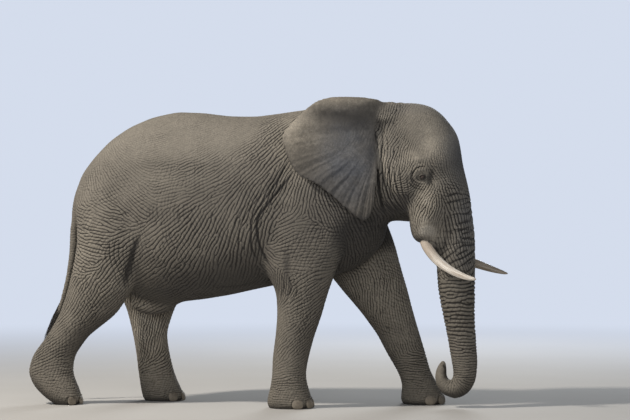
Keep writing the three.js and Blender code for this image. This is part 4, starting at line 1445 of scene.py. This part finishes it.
uneven_edge = 0.6 + 0.8 * rugged(points, 0.12, 31)
keep(mesh, "cool_and_painted_shade", np.clip(spots(COOL_AND_PAINTED_SHADE, points) * uneven_edge, 0, 1))
keep(mesh, "tan_and_painted_light", np.clip(spots(TAN_AND_PAINTED_LIGHT, points) * uneven_edge, 0, 1.8))
keep(mesh, "lid", lid_margin)
keep(mesh, "stain", np.clip(spots(STAIN, points), 0, 1))
low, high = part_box("torso")
upness = np.clip(fine_normals[:, 2], -1, 1)
above = np.clip((points[:, 2] - low.z) / (high.z - low.z), -0.4, 1)
dust = np.clip(upness * 0.7 + 0.35 * above, 0, 1)
keep(mesh, "dust", dust * (0.5 + rugged(points, 0.4, 33)))
# Painted shade: darker where the skin faces down, in the painted shade spots, round the eyes and in
# the nostrils.
facing_down_shade = 0.1 - upness * 1.2
keep(mesh, "shade", np.clip(facing_down_shade + spots(PAINTED_SHADE_SPOTS, points) + eye_shade + nostril, 0, 1))


def hide_paint():
    paint, start = material("elephant_hide")
    place, of_skin = start.place(), start.stored
    blotch, grain, speck = place.cloud(2.2, 6.0), place.cloud(24.0, 5.0), place.cloud(90.0, 3.0)
    smudge = place.cloud(30.0, 3.0)
    tone = (blotch * 0.5 + grain * 0.5).clamp(0.40, 0.60)
    colour = tone.mix(rgb(0.088, 0.075, 0.058), rgb(0.142, 0.122, 0.096))
    cool_and_painted_shade = tone.mix(rgb(0.064, 0.067, 0.076), rgb(0.102, 0.107, 0.119))
    # Cool grey, which on the front of the forehead and trunk is painted shade.
    colour = of_skin("cool_and_painted_shade").mix(colour, cool_and_painted_shade)
    tan_and_painted_light = tone.mix(rgb(0.255, 0.218, 0.166), rgb(0.380, 0.330, 0.256))
    # Tan, which on the temple, the tusk sheath, the ear's top rim and the far legs is painted light.
    colour = (of_skin("tan_and_painted_light") * 0.85).mix(colour, tan_and_painted_light)
    # A pale painted highlight where the tan runs strongest, most of all on the tusk sheath and the
    # far hind leg.
    colour = ((of_skin("tan_and_painted_light") - 0.9).clamp(0.0, 0.8) * 0.85).mix(colour, rgb(0.56, 0.50, 0.41))
    dusty = (of_skin("dust") * (0.5 + grain)).clamp(0.15, 1.1) * 0.34
    colour = dusty.mix(colour, rgb(0.255, 0.228, 0.190))
    colour = (of_skin("shade") * 0.85).mix(colour, rgb(0.034, 0.031, 0.028))
    colour = (of_skin("lid") * 0.85).mix(colour, rgb(0.022, 0.018, 0.016))
    stained = of_skin("stain") * smudge.clamp(0.50, 0.62) * 0.7
    colour = stained.mix(colour, rgb(0.05, 0.042, 0.034))

    def aside_of(furrows):
        """0 in the middle of those furrows and 1 on the ridges between them."""
        phase = start.math("ARCTAN2", of_skin(furrows + "_sine"), of_skin(furrows + "_cosine"))
        return start.math("ABSOLUTE", phase) * (1 / np.pi)

    aside = aside_of("furrow")
    crosswise = (1 - aside_of("cross").clamp(0.03, 0.36)) * of_skin("cross")
    line = (1 - aside.clamp(0.03, 0.40)) * of_skin("furrow")
    hairline = aside.clamp(0.72, 0.97) * of_skin("furrow") * blotch.clamp(0.35, 0.62)
    # The furrow lines, drawn as painted shade finer than the mesh can hold.
    fine_lines = line * 0.62 + hairline * 0.12 + crosswise * 0.38
    crease_shade = (of_skin("crease") + fine_lines).clamp(0.0, 1.25)
    # A painted highlight on the ridges between the wrinkles, left out where painted shade lies.
    lit = 1 - (of_skin("shade") + of_skin("lid")).clamp(0.0, 1.0) * 0.95
    painted_ridge_highlight = (1 - crease_shade) * (1 - of_skin("ear")) * lit * 0.36
    colour = painted_ridge_highlight.mix(colour, rgb(0.345, 0.306, 0.245))
    # Painted shade in the creases, folds and furrow lines.
    colour = (crease_shade * 0.90).mix(colour, rgb(0.024, 0.021, 0.018))
    colour = (speck.clamp(0.35, 0.68) * 0.36).mix(colour, rgb(0.05, 0.045, 0.04))
    waves = {"Vector": place, "Scale": 14.0, "Detail": 2.0}
    wavy = start.add("TexNoise", (), waves, "Color")
    bent = start.add("VectorMath", {"operation": "MULTIPLY_ADD"}, {0: wavy, 1: (0.03,) * 3, 2: place})

    def cracks(scale):
        """0 in a net of cracks and 1 on the plates between."""
        net = {"Vector": bent, "Scale": scale}
        return start.add("TexVoronoi", {"feature": "DISTANCE_TO_EDGE"}, net).clamp(0.0, 0.3)

    thick = 1 - of_skin("ear") * 0.75
    relief = cracks(62.0) * 0.0012 * blotch.clamp(0.3, 0.6) * thick
    relief = relief + cracks(170.0) * 0.0005 + grain * 0.0036
    relief = relief - line * 0.0036 - hairline * 0.0014 - crosswise * 0.0028
    rough = 0.72 + grain * 0.2
    look = {"Base_Color": colour, "Roughness": rough, "Specular_IOR_Level": 0.35}
    surface(start, Normal=relief.bump(0.8), **look)
    return paint


mesh.materials.append(hide_paint())
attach(skin, "root")
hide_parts(*FLESH, *EARS)


# ---- the eyes --------------------------------------------------------------------------------
# Two glass-bright balls, brown round a small dark pupil, sit behind the lids. A glass eye of a
# museum model is blown in one piece, with the cornea standing out, and pressed in from behind.
EYE_ROUND, EYE_DEEP = 96, 64
CORNEA_ANGLE, CORNEA_RISE = 27.0, 0.0016


def grid_mesh(name, points):
    """A mesh over a grid of points, whose columns run round it and whose ends are closed."""
    rows, columns = points.shape[:2]
    index = np.arange(rows * columns).reshape(rows, columns)
    following = np.roll(index, -1, 1)
    quads = np.stack([index[:-1], following[:-1], following[1:], index[1:]], -1)
    mesh = bpy.data.meshes.new(name)
    faces = quads.reshape(-1, 4).tolist() + [index[0, ::-1].tolist(), index[-1].tolist()]
    mesh.from_pydata(points.reshape(-1, 3).tolist(), [], faces)
    mesh.polygons.foreach_set("use_smooth", np.ones(len(mesh.polygons), bool))
    mesh.update()
    return mesh


def put(name, mesh, paint, slot, *replaced):
    """Adds a piece to the model: its object, material, ride and what it stands for. The slot is not
    used.
    """
    piece = bpy.data.objects.new(name, mesh)
    bpy.context.scene.collection.objects.link(piece)
    mesh.materials.append(paint)
    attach(piece, "root")
    if replaced:
        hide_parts(*replaced)


def eye_paint():
    paint, start = material("brown_eye")
    angle = start.stored("angle")
    rays = start.stored("spoke", "Vector").cloud(9.0, 4.0)
    iris = rays.clamp(0.35, 0.65).mix(rgb(0.030, 0.014, 0.006), rgb(0.095, 0.045, 0.018))
    white = rays.clamp(0.3, 0.7).mix(rgb(0.035, 0.022, 0.017), rgb(0.085, 0.058, 0.045))
    pupil = angle.clamp(7.5, 9.0)
    colour = pupil.mix(rgb(0.004, 0.003, 0.003), iris)
    colour = (angle.clamp(17.5, 19.5) * 0.9).mix(colour, rgb(0.02, 0.012, 0.008))
    colour = angle.clamp(21.0, 25.0).mix(colour, white)
    glassy = {"Coat_Weight": 1.0, "Coat_Roughness": 0.03}
    rough = 0.12 + rays * 0.12
    surface(start, Base_Color=colour, Roughness=rough, Normal=(rays * 0.0004).bump(0.5), **glassy)
    return paint


def full_turn(steps):
    return np.linspace(0, 2 * np.pi, steps, endpoint=False)


def eye_ball(socket, paint):
    polar, spin = np.meshgrid(np.linspace(0.4, 179.6, EYE_DEEP), full_turn(EYE_ROUND), indexing="ij")
    bulge = np.clip(1 - (polar / CORNEA_ANGLE) ** 2, 0, 1) ** 1.5 * CORNEA_RISE
    out = (EYE_BALL + bulge) * np.cos(np.radians(polar))
    aside = (EYE_BALL + bulge) * np.sin(np.radians(polar))
    name = socket.name + "_ball"
    mesh = grid_mesh(name, socket.place(aside * np.cos(spin), aside * np.sin(spin), out))
    keep(mesh, "angle", polar)
    keep_three(mesh, "spoke", np.stack([np.cos(spin), np.sin(spin), polar / 60], -1))
    put(name, mesh, paint, "eye", socket.name)


brown = eye_paint()
for socket in sockets:
    eye_ball(socket, brown)


# ---- the tusks -------------------------------------------------------------------------------
# Two curved tusks of cream ivory, round and tapering, stained brown where they leave the sockets
# and polished towards the tip. Each is one solid rod that runs up into its socket.
TUSK_PATHS = {
    "tusk_right": [
        [0.078, 0.805, 0.986, 0.054],
        [0.113, 0.752, 0.752, 0.056],
        [0.166, 0.672, 0.572, 0.055],
        [0.275, 0.557, 0.411, 0.053],
        [0.421, 0.427, 0.267, 0.048],
        [0.604, 0.285, 0.148, 0.040],
        [0.796, 0.155, 0.064, 0.031],
        [0.941, 0.071, 0.028, 0.020],
        [0.998, 0.043, 0.020, 0.007],
    ],
    "tusk_left": [
        [0.058, 0.274, 0.985, 0.054],
        [0.087, 0.337, 0.733, 0.056],
        [0.151, 0.438, 0.540, 0.055],
        [0.285, 0.564, 0.389, 0.054],
        [0.455, 0.682, 0.272, 0.052],
        [0.629, 0.771, 0.180, 0.046],
        [0.803, 0.823, 0.092, 0.034],
        [0.941, 0.841, 0.032, 0.019],
        [0.999, 0.850, 0.012, 0.006],
    ],
}
TUSK_ALONG, TUSK_ROUND = 120, 72
TUSK_TIP = 0.035  # the share of the length that rounds off
TUSK_UNEVEN = 0.006


def swept(path, radii, around):
    """A grid of points round a path, ring by ring, without twist."""
    ahead = unit(np.gradient(path, axis=0))
    first = unit(np.cross(ahead[0], [0.0, 1.0, 0.01]))
    sides = [first]
    for way in ahead[1:]:
        sides.append(unit(sides[-1] - way * (sides[-1] @ way)))
    sides = np.array(sides)
    others = np.cross(ahead, sides)
    spin = full_turn(around)[None, :, None]
    ring = np.cos(spin) * sides[:, None] + np.sin(spin) * others[:, None]
    return path[:, None] + ring * np.broadcast_to(radii, (len(path), around))[..., None]


def tusk_axis(name):
    low, high = box_of(name)
    rows = np.array(TUSK_PATHS[name])
    steps = np.linspace(0, len(rows) - 1, TUSK_ALONG)
    smooth = through(rows, np.arange(float(len(rows))), steps)
    return low + smooth[:, :3] * (high - low), smooth[:, 3]


def ivory_paint(name, stain, cream):
    paint, start = material(name)
    along, lengthwise = start.stored("along"), start.stored("lengthwise", "Vector")
    streaks, fine = lengthwise.cloud(7.0, 6.0), lengthwise.cloud(26.0, 4.0)
    cloud = start.place().cloud(9.0, 4.0)
    colour = streaks.clamp(0.35, 0.66).mix(cream, stain)
    root = (1 - along.clamp(0.25, 0.62)) * (0.45 + cloud * 0.8)
    colour = root.clamp(0.1, 1.0).mix(colour, stain)
    colour = (fine.clamp(0.56, 0.72) * 0.55).mix(colour, rgb(0.16, 0.115, 0.075))
    colour = (along.clamp(0.93, 1.0) * 0.5).mix(colour, rgb(0.30, 0.24, 0.17))
    relief = streaks * 0.0012 + fine * 0.0005
    rough = 0.50 - along * 0.18 + cloud * 0.12
    surface(start, Base_Color=colour, Roughness=rough, Normal=relief.bump(0.7))
    return paint


def tusk(name, paint):
    path, radii = tusk_axis(name)
    rng = np.random.default_rng(len(name))
    run, spin = np.meshgrid(np.linspace(0, 1, TUSK_ALONG), full_turn(TUSK_ROUND), indexing="ij")
    tip = np.clip(1 - (1 - run[:, :1]) / TUSK_TIP, 0, 1)
    grid = swept(path, radii[:, None] * np.sqrt(1 - 0.96 * tip**2), TUSK_ROUND)
    uneven = sum(
        rng.uniform(0.3, 1) * np.cos(k * spin + rng.uniform(0, 6) + run * rng.uniform(-3, 3))
        for k in (2, 3, 5, 9, 14)
    )
    middle = path[:, None]
    grid = middle + (grid - middle) * (1 + TUSK_UNEVEN * uneven[..., None])
    mesh = grid_mesh(name + "_ivory", grid)
    keep(mesh, "along", run)
    keep_three(mesh, "lengthwise", np.stack([np.cos(spin), np.sin(spin), 0.9 * run], -1))
    put(name + "_ivory", mesh, paint, "ivory", name)


tusk("tusk_right", ivory_paint("ivory", rgb(0.46, 0.38, 0.30), rgb(0.86, 0.80, 0.71)))
# The far tusk gets a much darker copy of the ivory: browner with stain, and darker with painted
# shade, as it lies in the shade of the head and trunk.
tusk("tusk_left", ivory_paint("browner_and_shaded_ivory", rgb(0.20, 0.16, 0.115), rgb(0.34, 0.285, 0.22)))


# ---- the toenails ----------------------------------------------------------------------------
# Fourteen broad nails of dull, worn horn, a little paler than the hide, with growth ridges across
# them. Each is a thick plate let into the front of a foot, and the skin rolls up round it.
NAIL_DEEP, NAIL_ROUND = 40, 56
NAIL_BACK = [0.9, 0.6, 0.0]  # the rings of the back, as shares of the outline
NAIL_LEVEL = 0.0015


def horn_paint():
    paint, start = material("nail_horn")
    place, height = start.place(), start.stored("height")
    cloud, chips = place.cloud(22.0, 6.0), place.cloud(120.0, 3.0)
    growth = {"Vector": place, "Scale": 42.0, "Distortion": 3.0, "Detail": 3.0, "Detail Scale": 2.0}
    bands = start.add("TexWave", {"bands_direction": "Z"}, growth)
    colour = cloud.clamp(0.35, 0.65).mix(rgb(0.135, 0.112, 0.084), rgb(0.250, 0.212, 0.165))
    colour = (bands * 0.35).mix(colour, rgb(0.15, 0.12, 0.09))
    colour = ((1 - height.clamp(-0.2, 0.9)) * 0.35).mix(colour, rgb(0.27, 0.225, 0.165))
    colour = (chips.clamp(0.56, 0.70) * 0.5).mix(colour, rgb(0.09, 0.07, 0.05))
    relief = bands * 0.0008 + cloud * 0.0015 + chips * 0.0004
    surface(start, Base_Color=colour, Roughness=0.5 + cloud * 0.3, Normal=relief.bump(0.8))
    return paint


def toenail(name, paint):
    bed = NailBed(name)
    wide, high, thick = bed.size
    out_to = np.concatenate([np.linspace(0, 1, NAIL_DEEP) ** 0.7, NAIL_BACK])[:, None]
    spin = full_turn(NAIL_ROUND)[None, :]
    corner = out_of_square(np.cos(spin), np.sin(spin))
    across = wide * out_to * np.cos(spin) / corner
    up = high * out_to * np.sin(spin) / corner
    across = across * (1 - 0.14 * np.clip(up / high, 0, 1))
    front = bed.plate(across, up)[1]
    front[NAIL_DEEP:] = -0.5 * thick
    ridge = 0.0007 * np.sin(up / high * 22 + 2.0 * np.cos(3 * across / wide)) * (front > 0.003)
    tilt = -0.20 * up * (front > 0)
    points = bed.centre + np.stack([across, up, front + ridge + tilt], -1) @ bed.matrix
    points[..., 2] = np.maximum(points[..., 2], NAIL_LEVEL)
    mesh = grid_mesh(name + "_horn", points)
    keep(mesh, "height", up / high)
    put(name + "_horn", mesh, paint, "toenail", name)


horn = horn_paint()
for name in NAILS:
    toenail(name, horn)


# ---- the hair --------------------------------------------------------------------------------
# Black, stiff hair: a tuft of wires 2 to 3 mm thick round the tail's end, and lashes on the lids,
# longer on the upper ones. Each hair is a tapered rod set in the hide.
HAIR_SIDES = 5
HAIR_PATCH = 0.003
TUFT = {"wires": 300, "steps": 10, "rim": 0.012, "flare": 0.030, "sway": 0.012, "sag": 0.02}
TUFT_THICK = (0.0022, 0.0034)
LASHES = ((1, 34, 0.034), (-1, 16, 0.016))  # upper or lower lid, how many, how long in metres
LASH_THICK = (0.0007, 0.0011)
LASH_STEPS = 7

coarse_corner = read(base.mesh.loops, "vertex_index", 1, np.int32)
place_on_map = np.zeros((len(base.points), 2))
place_on_map[coarse_corner] = unwrapped
skin_tree = tree_of(base.points)


def root_on_map(point):
    """Where the skin under a hair lies on the map of the skin."""
    return place_on_map[skin_tree.find(point)[1]]


def hair_mesh(name, paths, thickness):
    """Tapered rods along paths of shape (hairs, steps, 3), with their thickness at the root."""
    hairs, steps = paths.shape[:2]
    run = np.linspace(0, 1, steps)
    ahead = unit(np.gradient(paths, axis=1))
    side = unit(np.cross(ahead, [0.31, 0.77, 0.05]))
    other = np.cross(ahead, side)
    spin = full_turn(HAIR_SIDES)
    ring = np.cos(spin)[:, None] * side[:, :, None] + np.sin(spin)[:, None] * other[:, :, None]
    taper = 0.5 * thickness[:, None] * (1 - run**2 * 0.85)
    points = paths[:, :, None] + ring * taper[:, :, None, None]
    index = np.arange(hairs * steps * HAIR_SIDES).reshape(hairs, steps, HAIR_SIDES)
    following = np.roll(index, -1, 2)
    quads = np.stack([index[:, :-1], following[:, :-1], following[:, 1:], index[:, 1:]], -1)
    ends = index[:, 0, ::-1].tolist() + index[:, -1].tolist()
    mesh = bpy.data.meshes.new(name)
    mesh.from_pydata(points.reshape(-1, 3).tolist(), [], quads.reshape(-1, 4).tolist() + ends)
    mesh.polygons.foreach_set("use_smooth", np.ones(len(mesh.polygons), bool))
    roots = np.array([root_on_map(path[0]) for path in paths])
    corner = read(mesh.loops, "vertex_index", 1, np.int32)
    hair, rest = np.divmod(corner, steps * HAIR_SIDES)
    step, spoke = np.divmod(rest, HAIR_SIDES)
    patch = np.column_stack([spoke / (HAIR_SIDES - 1), step / (steps - 1)])
    uv = mesh.uv_layers.new(name="OFBake")
    spread = roots[hair] + (patch - 0.5) * HAIR_PATCH
    uv.data.foreach_set("uv", np.clip(spread, 0, 1).ravel().astype(np.float32))
    keep(mesh, "run", np.tile(np.repeat(run, HAIR_SIDES), hairs))
    return mesh


def hair_paint():
    paint, start = material("black_hair")
    run, each = start.stored("run"), start.place().cloud(60.0, 3.0)
    colour = each.clamp(0.35, 0.65).mix(rgb(0.010, 0.009, 0.008), rgb(0.045, 0.038, 0.030))
    colour = (run.clamp(0.6, 1.0) * 0.5).mix(colour, rgb(0.085, 0.068, 0.050))
    surface(start, Base_Color=colour, Roughness=0.38 + each * 0.2, Normal=(each * 0.0006).bump(0.6))
    return paint


def tail_tuft():
    rng = np.random.default_rng(41)
    low, high = box_of("tail_tuft")
    top = np.array([high[0] - 0.035, (low[1] + high[1]) / 2, high[2] - 0.02])
    tip = np.array([low[0] + 0.02, top[1], low[2]])
    down, length = unit(tip - top), np.linalg.norm(tip - top)
    wires = TUFT["wires"]
    spin = rng.uniform(0, 2 * np.pi, wires)
    rim = np.column_stack([np.cos(spin), np.sin(spin) * 0.7, 0 * spin])
    rim = rim - np.outer(rim @ down, down)
    up_tail = rng.uniform(-0.04, 0.20, wires)
    root = top + TUFT["rim"] * rim - down * up_tail[:, None]
    long = length * rng.uniform(0.55, 1.0, wires) + 0.35 * np.clip(up_tail, 0, 1)
    run = np.linspace(0, 1, TUFT["steps"])[None, :, None]
    flare = rim[:, None] * (TUFT["flare"] * np.sin(np.pi * run * 0.75))
    sway = rng.normal(0, TUFT["sway"], (wires, 1, 3)) * run**1.5
    paths = root[:, None] + down * long[:, None, None] * run + flare + sway
    paths[..., 2] -= TUFT["sag"] * run[..., 0] ** 2
    return hair_mesh("tail_tuft_hair", paths, rng.uniform(*TUFT_THICK, wires))


def lashes():
    rng = np.random.default_rng(42)
    paths, thick = [], []
    steps = np.linspace(0, 1, LASH_STEPS)
    for socket in sockets:
        for lid, count, long in LASHES:
            for spot in np.linspace(-0.85, 0.85, count):
                along = spot * SLIT["half"] + rng.normal(0, 0.0008)
                most = SLIT["above"] if lid > 0 else SLIT["below"]
                up = lid * (most * (1 - (along / SLIT["half"]) ** 2) + 0.0025)
                out = np.sqrt((EYE_BALL + LID) ** 2 - along**2 - up**2) - 0.001
                length = long * rng.uniform(0.75, 1.15)
                droop = 0.45 * length * steps**1.6 if lid > 0 else 0.5 * length * steps
                fan = 0.25 * spot * length * steps
                paths.append(socket.place(along + fan, up - droop, out + length * steps * 0.85))
                thick.append(rng.uniform(*LASH_THICK))
    return hair_mesh("lash_hair", np.array(paths), np.array(thick))


black = hair_paint()
put("tail_tuft_hair", tail_tuft(), black, "tail_hair", "tail_tuft")
put("lash_hair", lashes(), black, "tail_hair")
